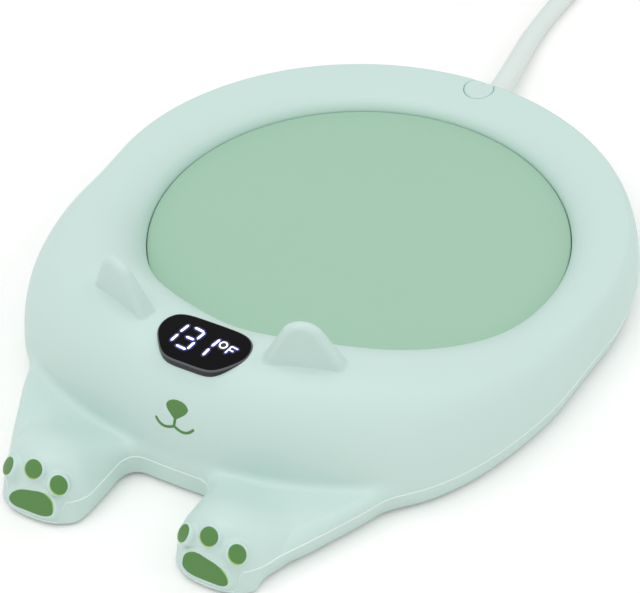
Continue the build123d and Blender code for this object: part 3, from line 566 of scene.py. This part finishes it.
def rounded_rim(size, top, edge, steps=6):
    """Size and height pairs round the upper rim of a side wall."""
    turns = np.linspace(0, math.pi / 2, steps + 1)
    return [(size - edge + edge * math.cos(t), top - edge + edge * math.sin(t)) for t in turns]


def stacked(name, layers):
    """Closed shape through layers of equal point count, with flat fans at both ends."""
    verts, faces = rows_mesh(layers)
    count, last = len(layers[0]), len(verts) - len(layers[0])
    for base, layer, flip in ((0, layers[0], True), (last, layers[-1], False)):
        middle = len(verts)
        verts.append(tuple(np.mean(layer, axis=0)))
        for i in range(count):
            edge = (base + i, base + (i + 1) % count)
            faces.append((middle, *(edge[::-1] if flip else edge)))
    return new_object(name, verts, faces)


def paint(obj, material):
    obj.data.materials.clear()
    obj.data.materials.append(material)


# ---- materials ----


def linear(*srgb):
    return tuple((c / 255 / 12.92) if c <= 10 else ((c / 255 + 0.055) / 1.055) ** 2.4 for c in srgb) + (1.0,)


def add_node(tree, kind, values=(), **settings):
    """New shader node with its settings and the values of its inputs."""
    node = tree.nodes.new("ShaderNode" + kind)
    for key, value in settings.items():
        setattr(node, key, value)
    for key, value in dict(values).items():
        node.inputs[key].default_value = value
    return node


def surface(name, srgb, rough, grain=400.0, bump=0.04, spread=0.03, metal=0.0, gloss=0.5, mottle=30.0, tint=0.04):
    """Principled surface whose colour, roughness and relief vary a little with noise."""
    mat = bpy.data.materials.new(name)
    mat.use_nodes = True
    tree = mat.node_tree
    link = tree.links.new
    shader = tree.nodes["Principled BSDF"]
    shader.inputs["Metallic"].default_value = metal
    shader.inputs["Specular IOR Level"].default_value = gloss
    color = linear(*srgb)[:3]
    dark, light = [tuple(min(1.0, c * share) for c in color) + (1.0,) for share in (1 - tint, 1 + tint)]
    place = add_node(tree, "TexCoord").outputs["Object"]
    broad = add_node(tree, "TexNoise", {"Scale": mottle, "Detail": 4.0})
    shade = add_node(tree, "Mix", {"A": dark, "B": light}, data_type="RGBA")
    fine = add_node(tree, "TexNoise", {"Scale": grain, "Detail": 3.0})
    sheen = add_node(tree, "MapRange", {"To Min": rough - spread, "To Max": rough + spread})
    relief = add_node(tree, "Bump", {"Strength": bump, "Distance": 0.0002})
    link(place, broad.inputs["Vector"])
    link(broad.outputs["Fac"], shade.inputs["Factor"])
    link(shade.outputs["Result"], shader.inputs["Base Color"])
    link(place, fine.inputs["Vector"])
    link(fine.outputs["Fac"], sheen.inputs["Value"])
    link(sheen.outputs["Result"], shader.inputs["Roughness"])
    link(fine.outputs["Fac"], relief.inputs["Height"])
    link(relief.outputs["Normal"], shader.inputs["Normal"])
    return mat


def glowing(name, srgb):
    mat = surface(name, srgb, 0.4)
    shader = mat.node_tree.nodes["Principled BSDF"]
    shader.inputs["Emission Color"].default_value = linear(*srgb)
    shader.inputs["Emission Strength"].default_value = 1.0
    return mat


MINT = surface("mint_shell", (204, 226, 219), 0.45, grain=1800, bump=0.03, mottle=18, tint=0.012)
PLATE = surface("plate_coating", (163, 199, 175), 0.55, grain=2600, bump=0.10, mottle=25, tint=0.015)
PRINT = surface("green_print", (84, 134, 66), 0.42, grain=1500, bump=0.05, mottle=60, tint=0.03)
# Lighter green along the pads' upper edges: a painted highlight.
PAD_RIM_HIGHLIGHT = surface("green_print_painted_highlight", (170, 202, 128), 0.42, grain=1500, bump=0.05)
# The joint's line is coloured lighter than the shell: a painted highlight.
SEAM_HIGHLIGHT = surface("mint_seam_highlight", (228, 243, 238), 0.4, grain=1800, bump=0.02, tint=0.01)
LENS = surface("display_black", (9, 8, 11), 0.14, grain=700, bump=0.0, spread=0.02, gloss=0.08)
# The display's sides and rim are the same black glass as its face; their greys are a painted reflection and a painted
# highlight.
LENS_SIDE_REFLECTION = surface("display_side_reflection", (50, 49, 50), 0.4, grain=700, bump=0.02, gloss=0.2)
LENS_RIM_HIGHLIGHT = surface("display_rim_highlight", (90, 91, 94), 0.3, grain=700, bump=0.02, gloss=0.3)
DIGITS = glowing("readout_light", (228, 232, 255))
GLOWS = [glowing(f"readout_glow_{i}", c) for i, c in enumerate(((10, 9, 22), (14, 11, 58), (44, 38, 190)))]
CORD = surface("cord_jacket", (224, 233, 228), 0.45, grain=900, bump=0.08, tint=0.02)
STEEL = surface("screw_steel", (170, 170, 168), 0.35, grain=900, bump=0.1, metal=1.0)
FLOOR = surface("table", (254, 252, 250), 0.7, grain=60, bump=0.0, tint=0.002, gloss=0.2)


def whiten_for_camera(mat, strength, far_strength=0.5, start=0.35, end=1.8):
    """Add a little light to what the camera sees of the floor, more far from the
    object, so that it stays white."""
    tree = mat.node_tree
    link = tree.links.new
    away = add_node(tree, "VectorMath", operation="LENGTH")
    reach = {"From Min": start, "From Max": end, "To Min": strength, "To Max": far_strength}
    more = add_node(tree, "MapRange", reach)
    scale = add_node(tree, "Math", operation="MULTIPLY")
    link(add_node(tree, "TexCoord").outputs["Object"], away.inputs[0])
    link(away.outputs["Value"], more.inputs["Value"])
    link(add_node(tree, "LightPath").outputs["Is Camera Ray"], scale.inputs[0])
    link(more.outputs["Result"], scale.inputs[1])
    shader = tree.nodes["Principled BSDF"]
    shader.inputs["Emission Color"].default_value = (1, 1, 1, 1)
    link(scale.outputs[0], shader.inputs["Emission Strength"])


whiten_for_camera(FLOOR, 0.08)

# ---- top cover ----

COVER_LOW, COVER_HIGH = np.array((-62.7, -83.2, -0.2)), np.array((62.9, 82.8, 42.6))
COVER_STEP, QUICK_STEP = 0.6, 1.1


def fill_bmesh(verts, faces):
    bm = bmesh.new()
    made = [bm.verts.new(v) for v in verts]
    for face in faces:
        bm.faces.new([made[i] for i in face])
    return bm, made


def refine(verts, quads, chosen):
    """Split the chosen faces in four and return the new vertices and faces."""
    bm, _ = fill_bmesh(verts.tolist(), quads)
    bm.faces.ensure_lookup_table()
    edges = {edge for i in np.flatnonzero(chosen) for edge in bm.faces[i].edges}
    bmesh.ops.subdivide_edges(bm, edges=list(edges), cuts=1, use_grid_fill=True)
    bm.verts.index_update()
    points = np.array([v.co[:] for v in bm.verts])
    faces = [[v.index for v in face.verts] for face in bm.faces]
    bm.free()
    return points, faces


def fine_places(verts, quads):
    """Faces at the button's hole, the paws' pads, the ears and the seam."""
    x, y, z = verts[quads].mean(axis=1).T
    side, reach = np.abs(x), PLATE_Y - y
    at_hole = (np.abs(from_button(x, y) - BUTTON_HOLE_R) < 1.1) & (z > PLATE_Z)
    at_pads = (reach > 94.0) & (side > 10) & (side < 31) & (z > 1.5)
    at_ears = (np.abs(side - EAR_X) < 11) & (np.abs(reach - 61.5) < 8) & (z > EAR_BASE - 2.5)
    at_seam = (np.abs(z - parting_height(reach)) < 0.7) & (polar(x, y)[0] > 56)
    return at_hole | at_pads | at_ears | at_seam


def build_cover():
    """Top cover: a coarse net of the field, finer at details, then set on the field."""
    step = COVER_STEP
    count = np.ceil((COVER_HIGH - COVER_LOW) / step).astype(int) + 1
    xs, ys, zs = [COVER_LOW[i] + step * np.arange(count[i]) for i in range(3)]
    table = tabled_arch()
    px, py = np.meshgrid(xs, ys, indexing="ij")
    plan = polygon_distance(np.abs(px), PLATE_Y - py, ARM_OUTLINE)
    levels = [cover_distance(px, py, np.full(px.shape, z), table, plan) for z in zs]
    verts, faces = surface_nets(np.stack(levels, axis=2), COVER_LOW, step)
    verts, faces = refine(verts, faces, fine_places(verts, faces))
    verts, normals = settle(cover_distance, verts)
    obj = new_object("cover_shell", verts, faces, normals=normals)
    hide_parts("top_cover")
    paint(obj, MINT)


build_cover()

# ---- bottom cover and seam ----

LIP_OUT, LIP_FALL, SOLE_EDGE = -0.06, 0.36, 0.7
SEAM_R, SEAM_BACK = 0.19, 0.05
SCREW_WELL_R, SCREW_WELL = 2.55, 1.8
CASE_SCREW_R, CASE_SCREW_ANGLES = 55.8, (95, 148, -148, -95)
SCREW_PLACES = [
    (CASE_SCREW_R * math.sin(a), PLATE_Y - CASE_SCREW_R * math.cos(a)) for a in np.radians(CASE_SCREW_ANGLES)
] + [(PAW_X, PLATE_Y - 90.5), (-PAW_X, PLATE_Y - 90.5)]


def onto_level(points, z, inset, rounds=5):
    """Move plan points level until the form's distance there is minus the inset."""
    for _ in range(rounds):
        x, y = points.T
        value = form_distance(x, y, z) + inset
        slope_x = (form_distance(x + 0.05, y, z) - form_distance(x - 0.05, y, z)) / 0.1
        slope_y = (form_distance(x, y + 0.05, z) - form_distance(x, y - 0.05, z)) / 0.1
        slope = np.stack([slope_x, slope_y], axis=1)
        size = np.maximum((slope**2).sum(axis=1), 0.3)
        move = -(value / size)[:, None] * slope
        points = points + move * np.minimum(1, 0.8 / np.maximum(np.hypot(*move.T), 1e-9))[:, None]
    return points


def evenly(points, spacing):
    """Points spaced evenly along a plan line."""
    run = np.concatenate([[0], np.cumsum(np.hypot(*np.diff(points, axis=0).T))])
    at = np.linspace(0, run[-1], int(run[-1] / spacing) + 1)
    return np.stack([np.interp(at, run, points[:, i]) for i in (0, 1)], axis=1)


def parting_outline():
    """Plan outline of the body where the two covers meet, all the way round."""
    turns = np.linspace(180, 37, 200)
    foot, turns = np.interp(turns, *FOOT_LINE), np.radians(turns)
    ring = np.stack([foot * np.sin(turns), foot * np.cos(turns)], axis=1)
    arm = np.vstack([ARM_OUTLINE[:-3], (0.0, NOTCH_REACH)])
    half = np.vstack([ring, arm]) * (1, -1) + (0, PLATE_Y)
    for _ in range(2):
        half = evenly(half, 0.7)
        height = parting_height(PLATE_Y - half[:, 1])
        half = onto_level(half, height, 0.0)
        half[0, 0] = half[-1, 0] = 0.0
    return np.vstack([half, (half * (-1, 1))[-2:0:-1]])


PARTING = parting_outline()
PARTING_HEIGHTS = parting_height(PLATE_Y - PARTING[:, 1])


def base_rows():
    """Rows of the bottom cover's wall, from the parting line down round its edge."""
    depth = PARTING_HEIGHTS - BASE_Z
    toes = ease((PLATE_Y - PARTING[:, 1] - 94.5) / 3.0)
    edge = SOLE_EDGE * np.minimum(1, depth / 1.5) * (1 - 0.7 * toes)
    fall = LIP_FALL * (1 - toes)
    levels = [(PARTING_HEIGHTS, 1.0)]
    levels += [(PARTING_HEIGHTS - share * (depth - edge), LIP_OUT + fall * share**2) for share in np.linspace(0, 1, 8)]
    for t in np.linspace(0, math.pi / 2, 6)[1:]:
        levels.append((BASE_Z + edge - edge * math.sin(t), LIP_OUT + fall + edge - edge * math.cos(t)))
    rows, plan = [], PARTING
    for height, inset in levels:
        plan = onto_level(PARTING if len(rows) < 2 else plan, height, inset)
        rows.append(np.column_stack([plan, height]))
    return rows


def build_base():
    """Bottom cover: its wall, a level base and screw wells."""
    verts, faces = rows_mesh(base_rows())
    bm, made = fill_bmesh(verts, [face[::-1] for face in faces])
    loops = [made[-len(PARTING):]]
    for x, y in SCREW_PLACES:
        rim = [bm.verts.new((x + u, y + v, BASE_Z)) for u, v in SCREW_WELL_R * circle(32)]
        top = [bm.verts.new((v.co.x, v.co.y, BASE_Z + SCREW_WELL)) for v in rim]
        for i in range(len(rim)):
            bm.faces.new((rim[i - 1], top[i - 1], top[i], rim[i]))
        bm.faces.new(top[::-1])
        loops.append(rim)
    edges = []
    for loop in loops:
        for pair in zip(loop, loop[1:] + loop[:1]):
            edges.append(bm.edges.get(pair) or bm.edges.new(pair))
    bmesh.ops.triangle_fill(bm, use_beauty=True, use_dissolve=False, edges=edges, normal=(0, 0, -1))
    for edge in bm.edges:
        if len(edge.link_faces) == 2 and edge.calc_face_angle(0) > math.radians(35):
            edge.smooth = False
    for face in bm.faces:
        face.smooth = True
    mesh = bpy.data.meshes.new("base_shell")
    bmesh.ops.scale(bm, vec=(MM, MM, MM), verts=bm.verts)
    bm.to_mesh(mesh)
    bm.free()
    obj = link_object("base_shell", mesh)
    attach(obj, "housing")
    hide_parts("bottom_cover")
    paint(obj, MINT)


def build_seam():
    """Fine raised line along the joint between the covers, coloured lighter than the shell as a painted highlight."""
    out = outline_normals(PARTING)
    out *= np.sign((out * (PARTING - (0, PLATE_Y))).sum(axis=1).mean())
    rows = []
    for across, rise in SEAM_R * circle(8):
        rows.append(np.column_stack([PARTING + out * (across - SEAM_BACK), PARTING_HEIGHTS + rise]))
    verts, faces = rows_mesh(rows, closed_rows=True)
    paint(new_object("seam_line", verts, faces), SEAM_HIGHLIGHT)


build_base()
build_seam()

# ---- heating plate ----

PLATE_EDGE, PLATE_LOW = 0.35, LIP_Z - 1.4


def build_plate():
    """Plate with rounded rims that fills the opening but for a narrow gap."""
    lower = [(r, -z) for r, z in reversed(rounded_rim(PLATE_R, -PLATE_LOW, PLATE_EDGE))]
    layers = []
    for radius, z in lower + rounded_rim(PLATE_R, PLATE_Z, PLATE_EDGE):
        layers.append([(radius * u, PLATE_Y + radius * v, z) for u, v in circle(256)])
    plate = stacked("warming_plate", layers)
    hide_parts("heating_plate")
    paint(plate, PLATE)


build_plate()

# ---- display ----

LENS_DEPTH, LENS_EDGE = 3.4, 0.4


def on_lens(points, height=0.0):
    """Points of the display's plane, raised by a height, in the part's frame."""
    centre, right, up, out = LENS_FRAME
    return [centre + u * right + v * up + height * out for u, v in points]


def build_display():
    """Black window standing on the forehead; the dark grey of its sides is a painted reflection and the lighter grey
    of its rounded rim a painted highlight.
    """
    rim = [(0.0, -LENS_DEPTH)] + rounded_rim(0.0, 0.0, LENS_EDGE)
    glass = stacked("display_window", [on_lens(lens_outline(grow), height) for grow, height in rim])
    paint(glass, LENS)
    glass.data.materials.append(LENS_SIDE_REFLECTION)
    glass.data.materials.append(LENS_RIM_HIGHLIGHT)
    centre, _, _, out = LENS_FRAME
    # Faces low on the sides get the painted reflection, the rounded rim the painted highlight, the top the black face.
    for face in glass.data.polygons:
        height = float((np.array(face.center) / MM - centre) @ out)
        face.material_index = 1 if height < -0.38 else 2 if height < -0.03 else 0
    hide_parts("display_lens")


SEGMENT, LETTER_STROKE = 0.52, 0.3
GLYPHS = (
    ((-4.88, 3.24), (-5.55, 1.03)), ((-5.67, 0.21), (-6.10, -1.88)),
    ((-3.32, 3.17), (-1.02, 2.86)), ((-0.81, 2.76), (-1.36, 0.62)), ((-3.76, 0.31), (-1.87, 0.20)),
    ((-1.40, -0.35), (-1.83, -2.43)), ((-4.51, -2.50), (-2.10, -2.74)),
    ((3.03, 2.39), (2.36, 0.20)), ((2.23, -0.62), (1.91, -2.64)),
)
DEGREE = ((4.41, 1.42), 0.62, 0.95)  # centre, inner and outer radius
LETTER_F = (((6.15, 1.80), (5.75, -0.30)), ((6.15, 1.80), (7.75, 1.55)), ((5.98, 0.85), (7.15, 0.65)))
READOUT_UP, READOUT_T = 0.03, 0.04
GLOW_GROWS, GLOW_UP, GLOW_STEP, GLOW_T = (0.42, 0.27, 0.12), 0.004, 0.008, 0.004


def bar(start, end, width, taper=0.5, grow=0.0):
    """Outline of a display segment: a bar whose ends taper."""
    a, b = np.array(start), np.array(end)
    along = (b - a) / np.hypot(*(b - a))
    a, b = a - along * grow, b + along * grow
    across = np.array((-along[1], along[0])) * width / 2
    cap = along * width * taper
    return [a + across * 0.35, a + cap + across, b - cap + across, b + across * 0.35,
            b - across * 0.35, b - cap - across, a + cap - across, a - across * 0.35]


def flat_piece(name, outlines, height, thickness, material):
    """Thin plates on the display from closed outlines."""
    verts, faces = [], []
    for outline in outlines:
        base, count = len(verts), len(outline)
        rows, sides = rows_mesh([on_lens(outline, height), on_lens(outline, height + thickness)])
        verts += rows
        faces += [tuple(base + i for i in side) for side in sides]
        faces.append(tuple(range(base + count - 1, base - 1, -1)))
        faces.append(tuple(range(base + count, base + 2 * count)))
    paint(new_object(name, verts, faces, smooth=False), material)


def build_degree():
    """Flat ring of the degree sign."""
    centre, inner, outer = DEGREE
    low, high = READOUT_UP, READOUT_UP + READOUT_T
    section = ((inner, low), (outer, low), (outer, high), (inner, high))
    rows = [on_lens(np.array(centre) + radius * circle(40), height) for radius, height in section]
    paint(new_object("readout_degree", *rows_mesh(rows, closed_rows=True)), DIGITS)


def build_readout():
    """Lit segments, letter and degree sign over three thin layers of glow."""
    bars = [bar(a, b, SEGMENT) for a, b in GLYPHS] + [bar(a, b, LETTER_STROKE, 0.15) for a, b in LETTER_F]
    flat_piece("readout_digits", bars, READOUT_UP, READOUT_T, DIGITS)
    build_degree()
    for i, (grow, glow) in enumerate(zip(GLOW_GROWS, GLOWS)):
        spots = [bar(a, b, SEGMENT + 2 * grow, 0.5, grow) for a, b in GLYPHS]
        spots += [bar(a, b, LETTER_STROKE + 2 * grow, 0.5, grow) for a, b in LETTER_F]
        if i == 0:
            spots.append(np.array(DEGREE[0]) + (DEGREE[2] + grow) * circle(24))
        flat_piece(f"readout_glow_{i}", spots, GLOW_UP + GLOW_STEP * i, GLOW_T, glow)


build_display()
build_readout()

# ---- face ----

NOSE_SIDE = (
    (0.0, 21.28), (1.1, 21.16), (2.05, 20.72), (2.52, 20.02), (2.2, 19.25), (1.45, 18.55), (0.75, 18.0), (0.42, 17.75),
)
MOUTH_SIDE = ((0.0, 16.1), (0.55, 15.82), (1.55, 15.47), (2.5, 15.42), (3.5, 15.78), (4.36, 16.56))
MOUTH_STEM = ((0.02, 18.0), (0.0, 17.1), (-0.03, 16.05))
MOUTH_WIDTH, STEM_WIDTH = 0.58, 0.62
PRINT_ROOT = -0.03


def front_surface(x, z, lift):
    """Points on the face's front, straight ahead of x and z, raised off the surface."""
    y = np.full(x.shape, PLATE_Y - 76.5)
    for _ in range(25):
        y = y + 0.9 * form_distance(x, y, z)
    points = np.stack([x, y, z], axis=1)
    slope = gradient(form_distance, points)
    return points + lift * slope / np.linalg.norm(slope, axis=1)[:, None]


def surface_patch(name, outline, lift, rings=7):
    """Thin domed print over a closed outline of x and z on the face's front."""
    middle, count = outline.mean(axis=0), len(outline)
    shares = [1.0] + [1 - k / rings for k in range(rings)]
    heights = [PRINT_ROOT, lift * 0.7] + [lift] * (rings - 1)
    rows = [front_surface(*(middle + (outline - middle) * share).T, up) for share, up in zip(shares, heights)]
    verts, faces = rows_mesh(rows)
    last = len(verts) - count
    faces += [(last + i, last + (i + 1) % count, len(verts)) for i in range(count)]
    verts += front_surface(*middle[:, None], lift).tolist()
    paint(new_object(name, verts, faces), PRINT)


def ribbon(name, points, width, lift):
    """Thin raised line on the face's front."""
    line = spline_through(points, 8)
    way = np.gradient(line, axis=0)
    way /= np.hypot(*way.T)[:, None]
    across = np.stack([-way[:, 1], way[:, 0]], axis=1) * width / 2
    ends = width * np.array(((0.5,), (0.35,)))
    middle = np.vstack([line[0] - way[0] * ends, line, line[-1] + way[-1] * ends[::-1]])
    half = np.vstack([across[0] * 0.1, across[0] * 0.75, across, across[-1] * 0.75, across[-1] * 0.1])
    section = ((1.0, PRINT_ROOT), (1.0, lift * 0.7), (0.5, lift), (-0.5, lift), (-1.0, lift * 0.7), (-1.0, PRINT_ROOT))
    rows = [front_surface(*(middle + half * share).T, height) for share, height in section]
    paint(stacked(name, np.stack(rows, axis=1)), PRINT)


def build_face():
    """Nose, and the mouth as two curves under a stem."""
    side = spline_through(NOSE_SIDE, 6, (1, 0))
    outline = np.vstack([side, (side * (-1, 1))[::-1]])[:-1]
    keep = np.hypot(*np.diff(np.vstack([outline, outline[:1]]), axis=0).T) > 1e-4
    left = [(-x, z) for x, z in reversed(MOUTH_SIDE)]
    surface_patch("nose_print", outline[keep][::-1], 0.06)
    ribbon("mouth_left", left, MOUTH_WIDTH, 0.05)
    ribbon("mouth_right", MOUTH_SIDE, MOUTH_WIDTH, 0.055)
    ribbon("mouth_stem", MOUTH_STEM, STEM_WIDTH, 0.045)


build_face()

# ---- paws' green pads ----

PAD_ROOT, TOE_PAD_UP, BIG_PAD_UP, PAD_DOME = -0.6, 0.12, 0.22, 0.12
# Shift and drop of the lighter copy under each pad, whose edge is a painted highlight.
HIGHLIGHT_SHIFT, HIGHLIGHT_DROP = (0.15, 0.25), 0.03
TOE_TILT = 0.4  # turn of a toe's oval, as a share of its splay


def domed_pad(name, axes, outline, high, dome, material):
    """Green pad over a plane outline, slightly crowned with a rounded rim."""
    centre, right, up, out = axes
    layers = [(1.0, PAD_ROOT), (1.0, high - 0.10), (0.985, high - 0.03), (0.95, high)]
    layers += [(share, high + dome * (1 - share**2)) for share in (0.8, 0.6, 0.4, 0.2)]
    rows = [[centre + u * right + v * up + h * out for u, v in outline * share] for share, h in layers]
    paint(stacked(name, rows), material)


def pad_places():
    """Frame, outline and height of each pad of the +X paw."""
    places = []
    for toe in TOES:
        tilt = TOE_TILT * math.radians(toe[3])
        lean = np.array(((math.cos(tilt), math.sin(tilt)), (-math.sin(tilt), math.cos(tilt))))
        oval = circle(40) * (TOE_PRINT if toe[3] else MIDDLE_PRINT)
        places.append((toe_frame(*toe), oval @ lean, TOE_PAD_UP))
    return places + [(PAD_FRAME, PAD_OUTLINE, BIG_PAD_UP)]


def build_pads():
    """Pads of both paws, each over a lighter copy shifted up and outward that shows as a painted highlight along its
    upper rim.
    """
    for side, word in ((1, "right"), (-1, "left")):
        for i, (frame_axes, outline, top) in enumerate(pad_places()):
            axes = [np.array(a) * (side, 1, 1) for a in frame_axes]
            ring = outline[::side]
            # Lighter copy shifted up and outward: a painted highlight on the pad's upper rim.
            highlight_ring = ring + np.array(HIGHLIGHT_SHIFT) * (side, 1)
            domed_pad(f"paw_{word}_fringe_{i}", axes, highlight_ring, top - HIGHLIGHT_DROP, 0.0, PAD_RIM_HIGHLIGHT)
            domed_pad(f"paw_{word}_pad_{i}", axes, ring, top, PAD_DOME, PRINT)


build_pads()

# ---- power button ----

TICK_FROM, TICK_WAY, TICK_R = (0.15, 1.55), (0.45, 1.25), 0.2
CAP_STEP, CAP_QUICK_STEP = 0.16, 0.3


def tick_groove(x, y):
    """Distance to the mark pressed into the button: a short line towards its rear."""
    dx, dy = x - BUTTON_AT[0], y - BUTTON_AT[1] - TICK_FROM[1]
    share = np.clip((TICK_WAY[0] * dx + TICK_WAY[1] * dy) / (TICK_WAY[0] ** 2 + TICK_WAY[1] ** 2), 0, 1)
    return np.hypot(dx - TICK_FROM[0] - TICK_WAY[0] * share, dy - TICK_WAY[1] * share) - TICK_R


def cap_distance(x, y, z):
    """Signed distance to the button's cap, whose top carries on the ring's form."""
    shape = smooth_max(form_distance(x, y, z) + 0.01, from_button(x, y) - BUTTON_R, BUTTON_EDGE)
    shape = smooth_max(shape, -(tick_groove(x, y) * 0.8 + np.abs(shape) - 0.15), 0.1)
    return np.maximum(shape, PLATE_Z + 1.0 - z)


def build_button():
    step = CAP_STEP
    low = np.array((BUTTON_AT[0] - 3.7, BUTTON_AT[1] - 3.7, PLATE_Z + 0.6))
    count = np.ceil(np.array((7.4, 7.4, 6.0)) / step).astype(int) + 1
    axes = [low[i] + step * np.arange(count[i]) for i in range(3)]
    verts, quads = surface_nets(cap_distance(*np.meshgrid(*axes, indexing="ij")), low, step)
    verts, normals = settle(cap_distance, verts, reach=0.15)
    button = new_object("button_cap", verts, quads, "power_button", normals=normals)
    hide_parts("power_button")
    paint(button, MINT)


build_button()

# ---- cord ----

CORD_D = 4.5
CORD_RUN = (
    (0.0, 61.9, 4.9), (-1.3, 74.0, 4.4), (-3.3, 86.0, 3.45), (-5.2, 97.0, 2.6), (-5.95, 107.0, 2.3),
    (-5.9, 117.5, 2.3), (-5.5, 128.0, 2.3), (-5.25, 136.5, 2.3),
)
COIL_AT = (-37.0, 147.0)
COIL_LOWER = (31.75, 27.25, 22.75, 18.25)
COIL_UPPER = (20.5, 25.0, 29.5)
COIL_LOW_Z, COIL_HIGH_Z = 2.3, 6.8
TURN_POINTS = 12
TAIL_Y, TAIL_X = 176.5, (-46.0, -56.0, -69.0)


def coil_points():
    """Spiral in on the table, up, and out again on top, wound one way round."""
    turns = [(radius, COIL_LOW_Z) for radius in COIL_LOWER] + [(radius, COIL_HIGH_Z) for radius in COIL_UPPER]
    steps = np.arange(1, TURN_POINTS * len(turns) + TURN_POINTS // 4 + 1)
    radius, z = [np.interp(steps / TURN_POINTS, range(len(turns)), column) for column in zip(*turns)]
    t = 2 * math.pi * steps / TURN_POINTS
    return list(zip(COIL_AT[0] + radius * np.cos(t), COIL_AT[1] + radius * np.sin(t), z))


def build_cord():
    """The whole cord as one swept line: out of the ring, round the coil, to the plug."""
    route = list(CORD_RUN) + coil_points() + [(x, TAIL_Y, COIL_HIGH_Z) for x in TAIL_X]
    curve = bpy.data.curves.new("power_cord_line", "CURVE")
    curve.dimensions = "3D"
    spline = curve.splines.new("NURBS")
    spline.points.add(len(route) - 1)
    for point, (x, y, z) in zip(spline.points, route):
        point.co = (x * MM, (y + PLATE_Y) * MM, z * MM, 1)
        point.radius = CORD_D / 2 * MM
    spline.order_u = 3
    spline.use_endpoint_u = True
    curve.bevel_depth = 1.0
    curve.bevel_resolution = 8
    curve.resolution_u = 6
    curve.use_fill_caps = True
    cord = link_object("cord_jacket", curve)
    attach(cord, "housing")
    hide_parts("power_cord", "cord_coil", "cord_tail")
    paint(cord, CORD)
    return cord


cord = build_cord()

# ---- materials of the pieces that keep their CAD shape ----

BOARD = surface("circuit_board", (38, 92, 62), 0.5, grain=900, bump=0.08, tint=0.08)
CASE_BLACK = surface("component_case", (38, 38, 40), 0.5, grain=1100, bump=0.1)
for material, names in (
    (surface("foot_rubber", (150, 158, 155), 0.8, grain=1200, bump=0.25), "rubber_feet"),
    (surface("plate_gasket_rubber", (104, 138, 120), 0.8), "plate_gasket"),
    (surface("tie_fabric", (196, 204, 200), 0.85, grain=2500, bump=0.3), "cord_tie"),
    (surface("blade_metal", (196, 190, 170), 0.3, grain=900, bump=0.08, metal=1.0), "plug_blades"),
    (surface("mica_sheet", (176, 160, 128), 0.6, grain=600, bump=0.15, tint=0.12), "heater_insulation"),
    (surface("heater_foil", (196, 178, 150), 0.35, grain=900, bump=0.1, metal=0.9), "heater_element"),
    (surface("aluminium", (190, 192, 194), 0.4, grain=1400, bump=0.08, metal=1.0), "heater_retainer"),
    (surface("capacitor_sleeve", (34, 42, 70), 0.35, grain=700), "smoothing_capacitor"),
    (surface("capacitor_film", (196, 160, 60), 0.45, grain=900, bump=0.06), "film_capacitor"),
    (surface("wire_red", (176, 48, 40), 0.45, grain=800, bump=0.05), "mains_leads"),
    (surface("wire_white", (214, 212, 206), 0.45, grain=800, bump=0.05), "switch_leads"),
    (surface("glass_sleeve", (226, 220, 200), 0.8, grain=2400, bump=0.25), "heater_leads"),
    (BOARD, "main_board display_board switch_board"),
    (surface("ceramic", (214, 206, 190), 0.5, grain=1300, bump=0.1), "thermal_fuse mains_fuse switch_stem"),
    (STEEL, "case_screws retainer_screws board_screws display_screws switch_board_screws"),
    (CASE_BLACK, "temperature_sensor heater_triac control_chip display_module switch_body"),
    (CORD, "strain_relief plug_body"),
):
    for name in names.split():
        nodes[name].data.materials.clear()
        nodes[name].data.materials.append(material)

# ---- camera, light, ground ----

CAMERA_AT = (256.25, -455.61 + PLATE_Y, 416.42 + PLATE_Z)
CAMERA_RIGHT = (0.87141, 0.49013, -0.02053)
CAMERA_UP = (-0.29921, 0.56419, 0.76952)
CAMERA_BACK = (0.38874, -0.66442, 0.63829)


def add_camera():
    data = bpy.data.cameras.new("camera")
    data.lens = 170.0
    data.clip_end = 20.0
    camera = link_object("camera", data)
    turn = Matrix((CAMERA_RIGHT, CAMERA_UP, CAMERA_BACK)).transposed().to_4x4()
    camera.matrix_world = Matrix.Translation(Vector(CAMERA_AT) * MM) @ turn
    bpy.context.scene.camera = camera
    return camera


def add_light(name, at, size, power):
    """Square area light that faces the frame's origin."""
    data = bpy.data.lights.new(name, "AREA")
    data.shape = "RECTANGLE"
    data.size = data.size_y = size
    data.energy = power
    light = link_object(name, data)
    light.location = at
    light.rotation_euler = (-Vector(at)).to_track_quat("-Z", "Y").to_euler()
    return light


def white_world():
    """White to the camera and in reflections, softer light for the rest."""
    world = bpy.data.worlds.new("white")
    bpy.context.scene.world = world
    world.use_nodes = True
    tree = world.node_tree
    tree.nodes.clear()
    link = tree.links.new
    fill = add_node(tree, "Background", {"Color": (0.95, 0.975, 0.99, 1.0), "Strength": 0.70})
    seen = add_node(tree, "Background", {"Color": (1, 1, 1, 1), "Strength": 1.0})
    path = add_node(tree, "LightPath")
    shown = path.outputs["Is Camera Ray"]
    for ray in ("Is Glossy Ray", "Is Transmission Ray"):
        either = add_node(tree, "Math", operation="MAXIMUM")
        link(shown, either.inputs[0])
        link(path.outputs[ray], either.inputs[1])
        shown = either.outputs[0]
    mix = add_node(tree, "MixShader")
    for source, socket in zip((shown, fill.outputs[0], seen.outputs[0]), mix.inputs):
        link(source, socket)
    link(mix.outputs[0], add_node(tree, "OutputWorld").inputs["Surface"])


def add_table(half=3000.0):
    corners = [(-half, -half, 0), (half, -half, 0), (half, half, 0), (-half, half, 0)]
    table = new_object("table", corners, [(0, 1, 2, 3)], None)
    table.data.materials.append(FLOOR)
    return table


bpy.context.scene.view_settings.view_transform = "Standard"
white_world()
stage = [add_camera(), add_table()]
stage.append(add_light("overhead", (-0.12, -0.28, 0.9), 0.9, 3.0))
stage.append(add_light("side", (0.65, 0.25, 0.6), 0.6, 0.9))
